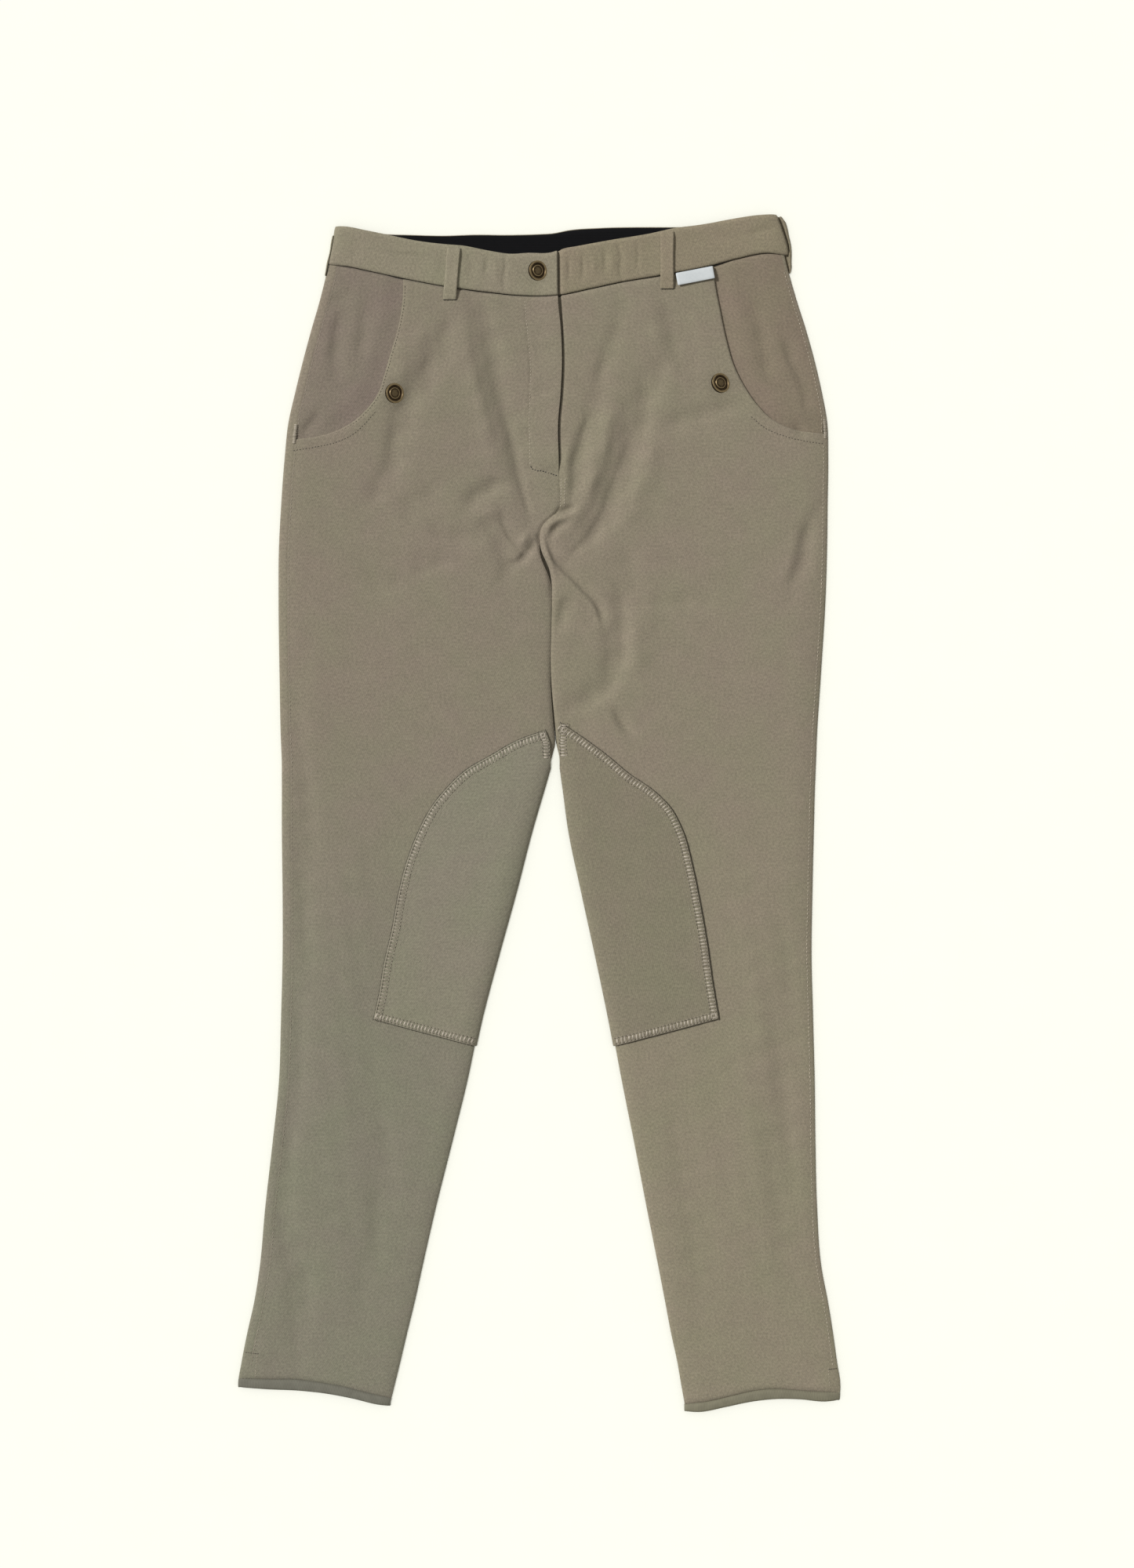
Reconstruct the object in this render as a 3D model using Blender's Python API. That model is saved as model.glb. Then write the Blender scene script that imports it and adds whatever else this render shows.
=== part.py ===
"""Riding breeches laid flat on their back, waist toward +Y and fly facing up.

Every table is in millimetres: x runs to the right from the middle of the garment, and down runs
from its highest point, at the waist, toward the hems. The right leg is the wearer's right, which
lies at -X. Each leg is a flattened tube: a front panel on top and a back panel below, which rolls
round the side edge and meets the front at a seam that shows from above.
"""
import math
from types import SimpleNamespace

import bmesh
import bpy
import numpy as np
from mathutils import Matrix, Vector

MM = 0.001

# Cloth
CLOTH = 1.1            # wall of the stretch twill
SEAM = 0.3             # gap between two pieces at a seam
PATCH_GAP = 0.6        # knee patch over the leg
PATCH = 1.0            # wall of a knee patch
LENGTH = 977.3         # waist to the longer hem
CROTCH = 431           # waist to where the legs part

# Height of the lying garment
EDGE = 2.8             # height of a rolled edge's outermost line
SIDE_ROLL = 22.0       # width over which the front rises from the side edge
INNER_ROLL = 16.0      # the same at the inseam
UNDER_ROLL = 4.0       # width of the roll on the underside
SIDE_SEAM_RIGHT = 7.0  # how far the side seam lies in from the edge, on top
SIDE_SEAM_LEFT = 2.5

# Waistband
BACK_BAND = 2.2        # two layers and interfacing
FACING = (2.5, 3.5)    # under and upper side of the black facing
BAND_UNDER = 3.8       # underside of the front waistband
BAND_TOP = 5.9
BAND_EDGE = 3.9        # its height at the side edge
BAND_ROLL = 12.0
BAND_SIDE = (4.0, 14.0)     # between these distances from the side its underside comes down
BACK_BAND_RIM = 0.9         # how far the back band's side edge is bevelled
FACING_IN = 16.0            # how far the facing stays in from the sides
STEP_DOWN = 4.0             # length over which a loop comes down from the band to the panel

# Pocket insets and fly
INSET_DEPTH = CLOTH + 0.7   # how far the inset lies under the panel at the pocket mouth
INSET_BLEND = 18.0          # width over which it comes up to the panel's level
INSET_HIDDEN = 11.0         # how far it runs on under the panel
SHIELD = (CLOTH + 0.6, CLOTH + 1.6)   # how deep its two sides lie under the fronts
FLY_END = 212.0
FLY_SIDES = (-4.5, 30.5)

# Trims
LOOP_WIDTH = 10.4
LOOP = 1.0
TAB = 1.0
TAB_GAP = 0.4
HEM_BAND = 1.3
BUTTON_RADIUS = 8.15
BUTTON_TILT = math.radians(30)

# Grid
MOUTH_ROWS = 8
BLEND_ROWS = 4
LEG_ROWS = 21
MOUTH_INNER_LEVEL = 0.19    # level at the centre front of the row that ends at the mouth's end
LEVEL_ROWS_START = 0.30     # from this level down, rows run level
FRONT_COLUMNS = 13
BACK_COLUMNS = 7
INNER_ANGLES = (0, 25, 50, 75, 90)
UNDER_ANGLES = (0, 35, 65, 90)


def table(columns, rows):
    """A table as one list of numbers for each named column."""
    return SimpleNamespace(**dict(zip(columns.split(), map(list, zip(*rows)))))


# Side edges and inner edges. Above the crotch both inner edges are the centre front.
EDGES = table("down right_side right_inner left_inner left_side", (
    (0, -164.5, 14.2, 14.2, 190.7),
    (25, -168.6, 14.4, 14.4, 198.6),
    (45, -172.8, 14.6, 14.6, 203.6),
    (71, -179.2, 15.2, 15.2, 211.0),
    (93, -185.6, 17.4, 17.4, 218.0),
    (119, -192.6, 18.4, 18.4, 225.2),
    (145, -199.0, 17.3, 17.3, 231.2),
    (170, -204.6, 15.2, 15.2, 235.6),
    (196, -207.4, 15.6, 15.6, 236.3),
    (239, -210.6, 16.6, 16.6, 235.8),
    (272, -212.3, 12.8, 12.8, 235.4),
    (312, -212.6, 10.4, 10.4, 234.2),
    (375, -211.8, 9.6, 9.6, 230.4),
    (431, -210.6, 13.8, 13.8, 226.9),
    (445, -210.0, 10.2, 17.3, 226.4),
    (465, -209.9, 4.5, 20.4, 225.6),
    (503, -209.9, -6.6, 25.6, 224.6),
    (554, -209.3, -19.8, 36.3, 223.4),
    (605, -209.3, -33.9, 47.4, 222.7),
    (657, -210.6, -47.6, 58.2, 224.0),
    (708, -212.3, -58.4, 67.8, 225.3),
    (759, -217.6, -71.0, 78.0, 225.9),
    (810, -223.4, -83.8, 87.8, 227.2),
    (861, -228.2, -95.4, 97.9, 231.0),
    (887, -232.3, -101.1, 102.9, 236.0),
    (913, -238.1, -107.4, 107.8, 240.2),
    (938, -243.0, -113.3, 113.2, 243.7),
    (954, -245.6, -117.2, 115.9, 246.2),
    (970, -244.6, -121.2, 118.8, 245.6),
))

BAND_TOP_LINE = table("x down", (
    (-166, 9.6), (-155, 10.2), (-142, 12.8), (-129, 15.4), (-97, 21.8), (-76, 24.3), (-61, 25.6),
    (-42, 29.4), (-23, 32.1), (-9, 31.4), (12, 30.7), (17, 28.8), (33, 25.6), (57, 21.1),
    (90, 15.7), (114, 10.6), (127, 9.0), (140, 7.0), (152, 4.7), (165, 2.4), (178, 0.6), (191, 0.0),
))
BACK_TOP_LINE = table("x down", (
    (-166, 10.6), (-142, 13.8), (-129, 15.6), (-104, 16.6), (-78, 17.2), (-52, 16.4), (-27, 16.6),
    (-1, 16.0), (12, 15.2), (24, 12.8), (50, 10.9), (88, 10.2), (114, 10.2), (127, 9.9),
    (152, 6.0), (178, 1.8), (191, 1.0),
))
WAIST_SEAM = table("x down", (
    (-171, 40.3), (-158, 41.6), (-136, 46.1), (-111, 51.5), (-79, 57.6), (-42, 62.7), (-18, 65.3),
    (15, 65.3), (41, 60.2), (65, 55.0), (98, 49.3), (141, 41.0), (163, 35.2), (186, 30.9),
    (203, 32.6),
))
RIGHT_HEM_SEAM = table("x down", (
    (-245, 950.2), (-216, 951.0), (-198, 951.2), (-179, 953.6), (-160, 956.8), (-141, 961.6),
    (-118, 966.6),
))
LEFT_HEM_SEAM = table("x down", (
    (120, 971.0), (139, 968.8), (157, 964.6), (177, 960.2), (191, 958.8), (205, 959.4),
    (223, 960.8), (246, 961.6),
))
RIGHT_HEM_END = table("x down", (
    (-246, 957.0), (-223, 958.7), (-193, 960.2), (-172, 962.6), (-152, 966.4), (-131, 971.3),
    (-119, 972.4),
))
LEFT_HEM_END = table("x down", (
    (118, 976.6), (131, 977.3), (152, 973.4), (172, 969.2), (193, 966.8), (213, 967.0),
    (234, 968.8), (247, 967.4),
))

RIGHT_MOUTH = table("x down", (
    (-110.7, 52.0), (-111.0, 68.0), (-114.0, 88.0), (-121.0, 113.5), (-126.0, 130.5),
    (-131.5, 146.5), (-140.0, 158.2), (-150.5, 168.0), (-160.0, 173.8), (-173.0, 179.0),
    (-189.0, 182.2), (-199.0, 183.0),
))
LEFT_MOUTH = table("x down", (
    (142.0, 41.0), (143.4, 55.0), (147.8, 78.4), (153.0, 103.0), (158.7, 122.5), (167.4, 140.0),
    (178.2, 155.5), (190.7, 167.6), (205.4, 174.7), (221.4, 177.9), (233.8, 178.9),
))

# How much of the full roll the front's inner edge has: none at the fly, all of it on the legs.
INNER_ROLL_SHARE = table("down share", (
    (0, 0.0), (238, 0.0), (272, 0.25), (312, 0.5), (375, 0.6), (431, 0.9), (455, 1.0), (980, 1.0),
))
UNDER_ROLL_SHARE = table("down share", ((0, 0.0), (400, 0.0), (455, 1.0), (980, 1.0)))
LOFT = table("down height", (
    (0, 5.2), (60, 5.2), (200, 5.6), (420, 5.7), (700, 5.3), (900, 4.9), (980, 4.4),
))

FOLDS = table("x1 down1 x2 down2 x3 down3 half_width depth", (
    (-54, 68, -38, 150, -6, 246, 9, 1.2),
    (-95, 135, -108, 160, -113, 185, 10, 0.9),
    (-193, 365, -199, 480, -196, 680, 10, 0.9),
    (-196, 680, -209, 784, -199, 940, 10, 0.9),
    (101, 125, 70, 185, 22, 279, 14, 1.4),
    (20, 285, 40, 306, 51, 330, 8, 0.9),
    (65, 323, 60, 362, 28, 404, 9, 1.0),
    (231, 246, 212, 265, 206, 298, 7, 0.8),
    (-2, 258, 3, 280, 8, 300, 7, 1.0),
))

RIGHT_PATCH = table("x down", (
    (3.0, 424.0), (-19.0, 431.0), (-38.0, 441.5), (-61.0, 455.0), (-76.0, 469.5), (-87.5, 484.0),
    (-98.0, 504.0), (-107.0, 527.0), (-114.0, 554.0), (-119.5, 584.0), (-126.0, 612.0),
    (-129.5, 634.0), (-134.5, 656.5),
))
LEFT_PATCH = table("x down", (
    (20.5, 420.0), (37.0, 429.0), (55.0, 441.5), (74.0, 457.0), (93.0, 470.0), (107.5, 484.5),
    (118.0, 505.0), (125.0, 531.0), (131.0, 560.0), (137.0, 594.0), (141.5, 626.0), (146.6, 656.0),
))
PATCH_INSEAM = (452.0, 678.4)   # where each patch starts and ends on the inseam
PATCH_ROWS = 15
PATCH_COLUMNS = 6

FRONT_LOOPS = table("name x_top down_top x_end down_end", (
    ("right", -69.5, 27.5, -73.0, 69.0),
    ("left", 104.5, 14.0, 104.5, 60.0),
))
SIDE_LOOPS = table("name down_top down_end bulge", (
    ("right", 17.0, 49.0, 1.3),
    ("left", 1.5, 47.0, 3.4),
))
SIDE_LOOP_MIDDLE = 2.6        # height of a side loop's middle, and half its height
SIDE_LOOP_HALF = 2.2
BUTTONS = table("name x down turn", (
    ("waist", -1.6, 46.4, 0.0),
    ("pocket_right", -118.1, 146.2, 0.0),
    ("pocket_left", 147.4, 138.2, 20.0),
))
BUTTON_PROFILE = table("radius height", (
    (0.0, 1.75), (3.1, 1.7), (3.9, 1.35), (6.0, 1.35), (6.7, 2.0), (7.7, 2.1), (8.15, 1.5),
    (7.9, 0.5), (2.3, 0.2), (2.2, -2.6), (0.0, -2.6),
))
TAB_CORNERS = table("x down", ((111.9, 47.9), (141.6, 42.1), (143.4, 51.7), (113.7, 57.5)))

COLOURS = table("material red green blue roughness metallic", (
    ("twill", 0.26, 0.23, 0.17, 0.85, 0.0),
    ("twill_patch", 0.25, 0.23, 0.18, 0.85, 0.0),
    ("twill_inset", 0.23, 0.19, 0.15, 0.85, 0.0),
    ("facing_black", 0.012, 0.012, 0.015, 0.8, 0.0),
    ("binding", 0.17, 0.17, 0.13, 0.8, 0.0),
    ("label_white", 0.75, 0.77, 0.76, 0.7, 0.0),
    ("antique_brass", 0.10, 0.085, 0.05, 0.4, 1.0),
))


def curve(xs, ys):
    """A smooth function through the points, level outside them."""
    xs = np.array(xs, float)
    ys = np.array(ys, float)
    slopes = np.gradient(ys, xs)

    def value(x):
        x = min(max(x, xs[0]), xs[-1])
        i = min(int(np.searchsorted(xs, x, side="right")) - 1, len(xs) - 2)
        step = xs[i + 1] - xs[i]
        t = (x - xs[i]) / step
        start = (1 + 2 * t) * (1 - t) ** 2 * ys[i] + t * (1 - t) ** 2 * step * slopes[i]
        end = t * t * (3 - 2 * t) * ys[i + 1] + t * t * (t - 1) * step * slopes[i + 1]
        return float(start + end)
    return value


def straight(xs, ys):
    """The same with straight runs, for what must not overshoot."""
    return lambda x: float(np.interp(x, xs, ys))


def inner_edge(values):
    """The centre front down to the crotch, then the leg's inner edge, with a corner between them."""
    crotch = EDGES.down.index(CROTCH)
    centre_front = curve(EDGES.down[:crotch + 1], values[:crotch + 1])
    inseam = curve(EDGES.down[crotch:], values[crotch:])
    return lambda down: centre_front(down) if down < CROTCH else inseam(down)


def path(points):
    """A smooth path through a table's points, from 0 at its start to 1 at its end by length."""
    xs = np.array(points.x)
    downs = np.array(points.down)
    along = np.concatenate(([0.0], np.cumsum(np.hypot(np.diff(xs), np.diff(downs)))))
    along /= along[-1]
    x_at = curve(along, xs)
    down_at = curve(along, downs)
    return lambda s: (x_at(s), down_at(s))


def make_leg(name, sign, side, inner, hem_seam, hem_end, mouth, patch, seam_in):
    return SimpleNamespace(
        name=name, sign=sign, seam_in=seam_in,
        side=curve(EDGES.down, side), inner=inner_edge(inner),
        hem=curve(hem_seam.x, hem_seam.down), end=curve(hem_end.x, hem_end.down),
        mouth=path(mouth), patch=path(patch))


waist = curve(WAIST_SEAM.x, WAIST_SEAM.down)
loft = curve(LOFT.down, LOFT.height)
inner_share = straight(INNER_ROLL_SHARE.down, INNER_ROLL_SHARE.share)
under_share = straight(UNDER_ROLL_SHARE.down, UNDER_ROLL_SHARE.share)
RIGHT = make_leg("right", -1, EDGES.right_side, EDGES.right_inner, RIGHT_HEM_SEAM, RIGHT_HEM_END,
                 RIGHT_MOUTH, RIGHT_PATCH, SIDE_SEAM_RIGHT)
LEFT = make_leg("left", 1, EDGES.left_side, EDGES.left_inner, LEFT_HEM_SEAM, LEFT_HEM_END,
                LEFT_MOUTH, LEFT_PATCH, SIDE_SEAM_LEFT)


def fold_samples():
    """Each fold as points on a curve through its three places, with its width and depth there."""
    samples = []
    for x1, d1, x2, d2, x3, d3, width, depth in zip(*vars(FOLDS).values()):
        for t in np.linspace(0.04, 0.96, 25):
            a = (1 - t) * (1 - 2 * t)
            b = 4 * t * (1 - t)
            c = t * (2 * t - 1)
            x = a * x1 + b * x2 + c * x3
            down = a * d1 + b * d2 + c * d3
            samples.append((x, down, width, depth * math.sin(math.pi * t) ** 0.6))
    return np.array(samples)


FOLD_SAMPLES = fold_samples()


def fold_depth(x, down):
    away = ((FOLD_SAMPLES[:, 0] - x) ** 2 + (FOLD_SAMPLES[:, 1] - down) ** 2) / FOLD_SAMPLES[:, 2] ** 2
    return float(np.max(FOLD_SAMPLES[:, 3] * np.exp(-away)))


def quarter(distance, width):
    """Cosine and sine of the angle that a distance from the edge has on a rolled edge."""
    cosine = 1 - min(max(distance / width, 0.0), 1.0)
    return cosine, math.sqrt(1 - cosine * cosine)


def world(x, down, z):
    return Vector((x * MM, (LENGTH / 2 - down) * MM, z * MM))


def top_point(leg, x, down, depth=0.0):
    """The front's surface at a place, or a layer that lies that deep under it."""
    side_cos, side_sin = quarter((leg.side(down) - x) * leg.sign, SIDE_ROLL)
    inner_cos, inner_sin = quarter((x - leg.inner(down)) * leg.sign, INNER_ROLL)
    share = inner_share(down)
    rise = side_sin * (1 - share * (1 - inner_sin))
    z = EDGE + (loft(down) - EDGE - depth) * rise - fold_depth(x, down) * rise ** 3
    return world(x + leg.sign * depth * (share * inner_cos - side_cos), down, z)


def under_point(leg, x, down, depth, inner_height=EDGE - SEAM):
    """The back's surface at a place, or a layer that lies that high over it."""
    side_cos, side_sin = quarter((leg.side(down) - x) * leg.sign, UNDER_ROLL)
    inner_cos, inner_sin = quarter((x - leg.inner(down)) * leg.sign, UNDER_ROLL)
    share = under_share(down)
    z = depth + (EDGE - depth) * (1 - side_sin) + share * (inner_height - depth) * (1 - inner_sin)
    return world(x + leg.sign * depth * (share * inner_cos - side_cos), down, z)


def level_down(leg, x, level):
    """How far down a level lies at x: 0 is the waist seam and 1 is the hem seam."""
    return waist(x) * (1 - level) + leg.hem(x) * level


def at_level(leg, level, edge, distance):
    """The place on a level that lies a distance in from the leg's side or inner edge."""
    down = level_down(leg, 0.0, level)
    toward = -leg.sign if edge is leg.side else leg.sign
    for _ in range(8):
        x = edge(down) + toward * distance
        down = level_down(leg, x, level)
    return x, down


def mouth_end_level(leg):
    x, down = leg.mouth(1.0)
    return (down - waist(x)) / (leg.hem(x) - waist(x))


def row_levels(leg):
    """For each row its level at the side seam and at the inner edge."""
    mouth_end = mouth_end_level(leg)
    rows = []
    for k in range(MOUTH_ROWS):
        t = k / MOUTH_ROWS
        rows.append((mouth_end * t, MOUTH_INNER_LEVEL * t))
    for k in range(BLEND_ROWS):
        t = k / BLEND_ROWS
        rows.append((mouth_end + (LEVEL_ROWS_START - mouth_end) * t,
                     MOUTH_INNER_LEVEL + (LEVEL_ROWS_START - MOUTH_INNER_LEVEL) * t))
    for k in range(LEG_ROWS + 1):
        level = LEVEL_ROWS_START + (1 - LEVEL_ROWS_START) * k / LEG_ROWS
        rows.append((level, level))
    return rows


def hem_gap(leg, down, x):
    """Draws the last row back from the hem band."""
    return min(down, leg.hem(x) - SEAM)


def front_plan(leg):
    """Plan points of a front panel, each row from the inner edge to the pocket mouth or side seam."""
    grid = []
    for k, (side_level, inner_level) in enumerate(row_levels(leg)):
        outer_x, outer_down = at_level(leg, side_level, leg.side, leg.seam_in + SEAM / 2)
        if k < MOUTH_ROWS:
            outer_x, outer_down = leg.mouth(k / MOUTH_ROWS)
            depth_of_leg = leg.hem(outer_x) - waist(outer_x)
            side_level = max(0.0, (outer_down - waist(outer_x)) / depth_of_leg) if k else 0.0
        width = (outer_x - leg.inner(outer_down)) * leg.sign
        distances = [SEAM / 2 + INNER_ROLL * (1 - math.cos(math.radians(a))) for a in INNER_ANGLES]
        start = distances[-1]
        distances += [start + (width - start) * j / FRONT_COLUMNS for j in range(1, FRONT_COLUMNS + 1)]
        row = []
        for distance in distances:
            level = inner_level + (side_level - inner_level) * distance / width
            x, down = at_level(leg, level, leg.inner, distance)
            row.append((x, hem_gap(leg, down, x)))
        grid.append(row)
    return grid


def link_object(name, mesh, material):
    mesh.materials.append(MATERIALS[material])
    piece = bpy.data.objects.new(name, mesh)
    bpy.context.scene.collection.objects.link(piece)
    mesh.shade_smooth()
    mesh.set_sharp_from_angle(angle=math.radians(50))
    return piece


def wall(name, outer, inner, material, closed=False):
    """A sheet with a wall: two grids of points, joined round their rims.

    Closed rows run all the way round, as in a hem band.
    """
    mesh = bmesh.new()
    sheets = [[[mesh.verts.new(point) for point in row] for row in grid] for grid in (outer, inner)]
    rows = len(outer)
    columns = len(outer[0])
    spans = columns if closed else columns - 1
    for sheet in sheets:
        for r in range(rows - 1):
            for c in range(spans):
                n = (c + 1) % columns
                mesh.faces.new((sheet[r][c], sheet[r][n], sheet[r + 1][n], sheet[r + 1][c]))
    upper, lower = sheets
    for r in (0, rows - 1):
        for c in range(spans):
            n = (c + 1) % columns
            mesh.faces.new((upper[r][c], upper[r][n], lower[r][n], lower[r][c]))
    if not closed:
        for c in (0, columns - 1):
            for r in range(rows - 1):
                mesh.faces.new((upper[r][c], upper[r + 1][c], lower[r + 1][c], lower[r][c]))
    bmesh.ops.recalc_face_normals(mesh, faces=mesh.faces)
    data = bpy.data.meshes.new(name)
    mesh.to_mesh(data)
    mesh.free()
    return link_object(name, data, material)


def plan(top, bottom, start, end, rows, columns):
    """Plan points between four lines: top and bottom give down for x, start and end x for down."""
    grid = []
    for r in rows:
        line = []
        for f in columns:
            x = start(0.0) * (1 - f) + end(0.0) * f
            for _ in range(8):
                down = top(x) * (1 - r) + bottom(x) * r
                x = start(down) * (1 - f) + end(down) * f
            line.append((x, down))
        grid.append(line)
    return grid


def steps(count):
    return [i / count for i in range(count + 1)]


def make_front(leg):
    places = front_plan(leg)
    outer = [[top_point(leg, x, down) for x, down in row] for row in places]
    inner = [[top_point(leg, x, down, CLOTH) for x, down in row] for row in places]
    return wall("front_" + leg.name, outer, inner, "twill")


def under_distances(width):
    """Columns of the underside: those on the rolled edge, and the flat ones between the rolls."""
    roll = [UNDER_ROLL * (1 - math.cos(math.radians(a))) for a in UNDER_ANGLES]
    flat = [roll[-1] + (width - 2 * roll[-1]) * t for t in steps(BACK_COLUMNS)[1:-1]]
    return roll, flat


def back_row(leg, side_level):
    """Columns of one row of a back panel: from the inner edge under the leg, and over the side."""
    edge_x, edge_down = at_level(leg, side_level, leg.side, 0.0)
    width = (edge_x - leg.inner(edge_down)) * leg.sign
    roll, flat = under_distances(width)
    under = [d + SEAM / 2 for d in roll] + flat + [width - d for d in reversed(roll)]
    over = [(leg.seam_in - SEAM / 2) * t for t in (0.3, 1.0)]
    return under, over, width


def make_back(leg):
    outer = []
    inner = []
    for side_level, inner_level in row_levels(leg):
        under, over, width = back_row(leg, side_level)
        lines = ([], [])
        for distance in under:
            level = inner_level + (side_level - inner_level) * distance / width
            x, down = at_level(leg, level, leg.inner, distance)
            for line, depth in zip(lines, (0.0, CLOTH)):
                line.append(under_point(leg, x, hem_gap(leg, down, x), depth))
        for distance in over:
            x, down = at_level(leg, side_level, leg.side, distance)
            for line, depth in zip(lines, (0.0, CLOTH)):
                line.append(top_point(leg, x, hem_gap(leg, down, x), depth))
        outer.append(lines[0])
        inner.append(lines[1])
    return wall("back_" + leg.name, outer, inner, "twill")


def mouth_points(leg):
    """The mouth as places, each with the direction that points under the front panel."""
    points = []
    for s in np.linspace(0, 1, 60):
        x, down = leg.mouth(s)
        x1, down1 = leg.mouth(max(s - 0.01, 0))
        x2, down2 = leg.mouth(min(s + 0.01, 1))
        length = math.hypot(x2 - x1, down2 - down1)
        along = ((x2 - x1) / length, (down2 - down1) / length)
        points.append((x, down, -leg.sign * along[1], leg.sign * along[0]))
    return np.array(points)


def inset_depth(points, x, down):
    """How deep the inset lies: full under the panel, none at INSET_BLEND from the mouth."""
    away = np.hypot(points[:, 0] - x, points[:, 1] - down)
    nearest = points[int(np.argmin(away))]
    hidden = (x - nearest[0]) * nearest[2] + (down - nearest[1]) * nearest[3] > 0
    if hidden:
        return INSET_DEPTH
    t = max(0.0, 1 - float(np.min(away)) / INSET_BLEND)
    return INSET_DEPTH * t * t * (3 - 2 * t)


def make_inset(leg):
    points = mouth_points(leg)
    hidden_x = points[:, 0] + INSET_HIDDEN * points[:, 2]
    hidden_down = points[:, 1] + INSET_HIDDEN * points[:, 3]
    hidden_edge = straight(hidden_down, hidden_x)
    mouth_end = mouth_end_level(leg)
    levels = [mouth_end * k / MOUTH_ROWS for k in range(MOUTH_ROWS + 1)]
    levels += [mouth_end + 0.004, mouth_end + 0.008]
    grids = ([], [])
    for level in levels:
        lines = ([], [])
        start_x, start_down = at_level(leg, level, leg.side, leg.seam_in + SEAM / 2)
        for f in steps(9):
            x, down = start_x, start_down
            for _ in range(8):
                down = level_down(leg, x, level)
                x = start_x * (1 - f) + hidden_edge(down) * f
            depth = inset_depth(points, x, down)
            lines[0].append(top_point(leg, x, down, depth))
            lines[1].append(top_point(leg, x, down, depth + CLOTH))
        for grid, line in zip(grids, lines):
            grid.append(line)
    return wall("pocket_inset_" + leg.name, *grids, "twill_inset")


def make_patch(leg):
    """A knee patch on the leg's surface, from its own outline to the inseam."""
    grids = ([], [])
    for v in steps(PATCH_ROWS):
        x_out, down_out = leg.patch(v)
        down_in = PATCH_INSEAM[0] + (PATCH_INSEAM[1] - PATCH_INSEAM[0]) * v
        width = (x_out - leg.inner(down_out)) * leg.sign
        roll = min(INNER_ROLL, width * 0.6)
        distances = [roll * (1 - math.cos(math.radians(a))) for a in INNER_ANGLES]
        distances += [roll + (width - roll) * t for t in steps(PATCH_COLUMNS)[1:]]
        lines = ([], [])
        for distance in distances:
            down = down_in + (down_out - down_in) * distance / width
            x = leg.inner(down) + leg.sign * distance
            lines[0].append(top_point(leg, x, down, -PATCH_GAP - PATCH))
            lines[1].append(top_point(leg, x, down, -PATCH_GAP))
        for grid, line in zip(grids, lines):
            grid.append(line)
    return wall("knee_patch_" + leg.name, *grids, "twill_patch")


def make_hem_band(leg):
    """The binding: a flat ring round the leg's end, from the hem seam to the end."""
    roll = [INNER_ROLL * (1 - math.cos(math.radians(a))) for a in INNER_ANGLES]
    side_roll = [SIDE_ROLL * (1 - math.cos(math.radians(a))) for a in (75, 50, 25, 0)]
    width = abs(leg.side(leg.hem(leg.side(LENGTH))) - leg.inner(leg.hem(leg.inner(LENGTH))))
    under_roll, under_flat = under_distances(width)
    grids = ([], [])
    for r in steps(2):
        def line_down(x):
            return (leg.hem(x) + SEAM) * (1 - r) + leg.end(x) * r

        def place(edge, distance, toward):
            down = line_down(edge(LENGTH))
            for _ in range(8):
                x = edge(down) + toward * distance
                down = line_down(x)
            return x, down
        middle = [roll[-1] + (width - roll[-1] - SIDE_ROLL) * t for t in (0.2, 0.4, 0.6, 0.8, 1.0)]
        over = [place(leg.inner, d, leg.sign) for d in roll + middle]
        over += [place(leg.side, d, -leg.sign) for d in side_roll]
        under = [place(leg.side, d, -leg.sign) for d in under_roll[1:]]
        under += [place(leg.inner, d, leg.sign) for d in reversed(under_roll[1:] + under_flat)]
        for grid, depth in zip(grids, (0.0, HEM_BAND)):
            line = [top_point(leg, x, down, depth) for x, down in over]
            line += [under_point(leg, x, down, depth, EDGE) for x, down in under]
            grid.append(line)
    return wall("hem_band_" + leg.name, *grids, "binding", closed=True)


def front_band_height(leg, x, down):
    """Under and upper height of the front waistband, which rolls down at the side."""
    distance = (leg.side(down) - x) * leg.sign
    _, rise = quarter(distance, BAND_ROLL)
    upper = BAND_EDGE + (BAND_TOP - BAND_EDGE) * rise
    low = BACK_BAND + SEAM + 0.1
    inward = (distance - BAND_SIDE[0]) / (BAND_SIDE[1] - BAND_SIDE[0])
    under = low + (BAND_UNDER - low) * min(max(inward, 0), 1)
    return under, upper


def make_front_band(leg):
    band_top = curve(BAND_TOP_LINE.x, BAND_TOP_LINE.down)
    columns = [0, 0.006, 0.025, 0.06, 0.1] + [0.1 + 0.9 * t for t in steps(9)[1:]]
    grid = plan(band_top, lambda x: waist(x) - SEAM, leg.side,
                lambda down: leg.inner(down) + leg.sign * SEAM / 2, steps(3), columns)
    outer = []
    inner = []
    for row in grid:
        heights = [front_band_height(leg, x, down) for x, down in row]
        outer.append([world(x, down, upper) for (x, down), (_, upper) in zip(row, heights)])
        inner.append([world(x, down, under) for (x, down), (under, _) in zip(row, heights)])
    return wall("waistband_front_" + leg.name, outer, inner, "twill")


def make_back_band():
    back_top = curve(BACK_TOP_LINE.x, BACK_TOP_LINE.down)
    grid = plan(back_top, lambda x: waist(x) - SEAM, RIGHT.side, LEFT.side, steps(2),
                [0, 0.01] + [0.01 + 0.98 * t for t in steps(16)[1:]] + [1])
    columns = len(grid[0])
    outer = []
    inner = []
    for row in grid:
        rim = [BACK_BAND_RIM if c in (0, columns - 1) else 0.0 for c in range(columns)]
        outer.append([world(x, down, BACK_BAND - lower / 2) for (x, down), lower in zip(row, rim)])
        inner.append([world(x, down, lower) for (x, down), lower in zip(row, rim)])
    return wall("waistband_back", outer, inner, "twill")


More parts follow.
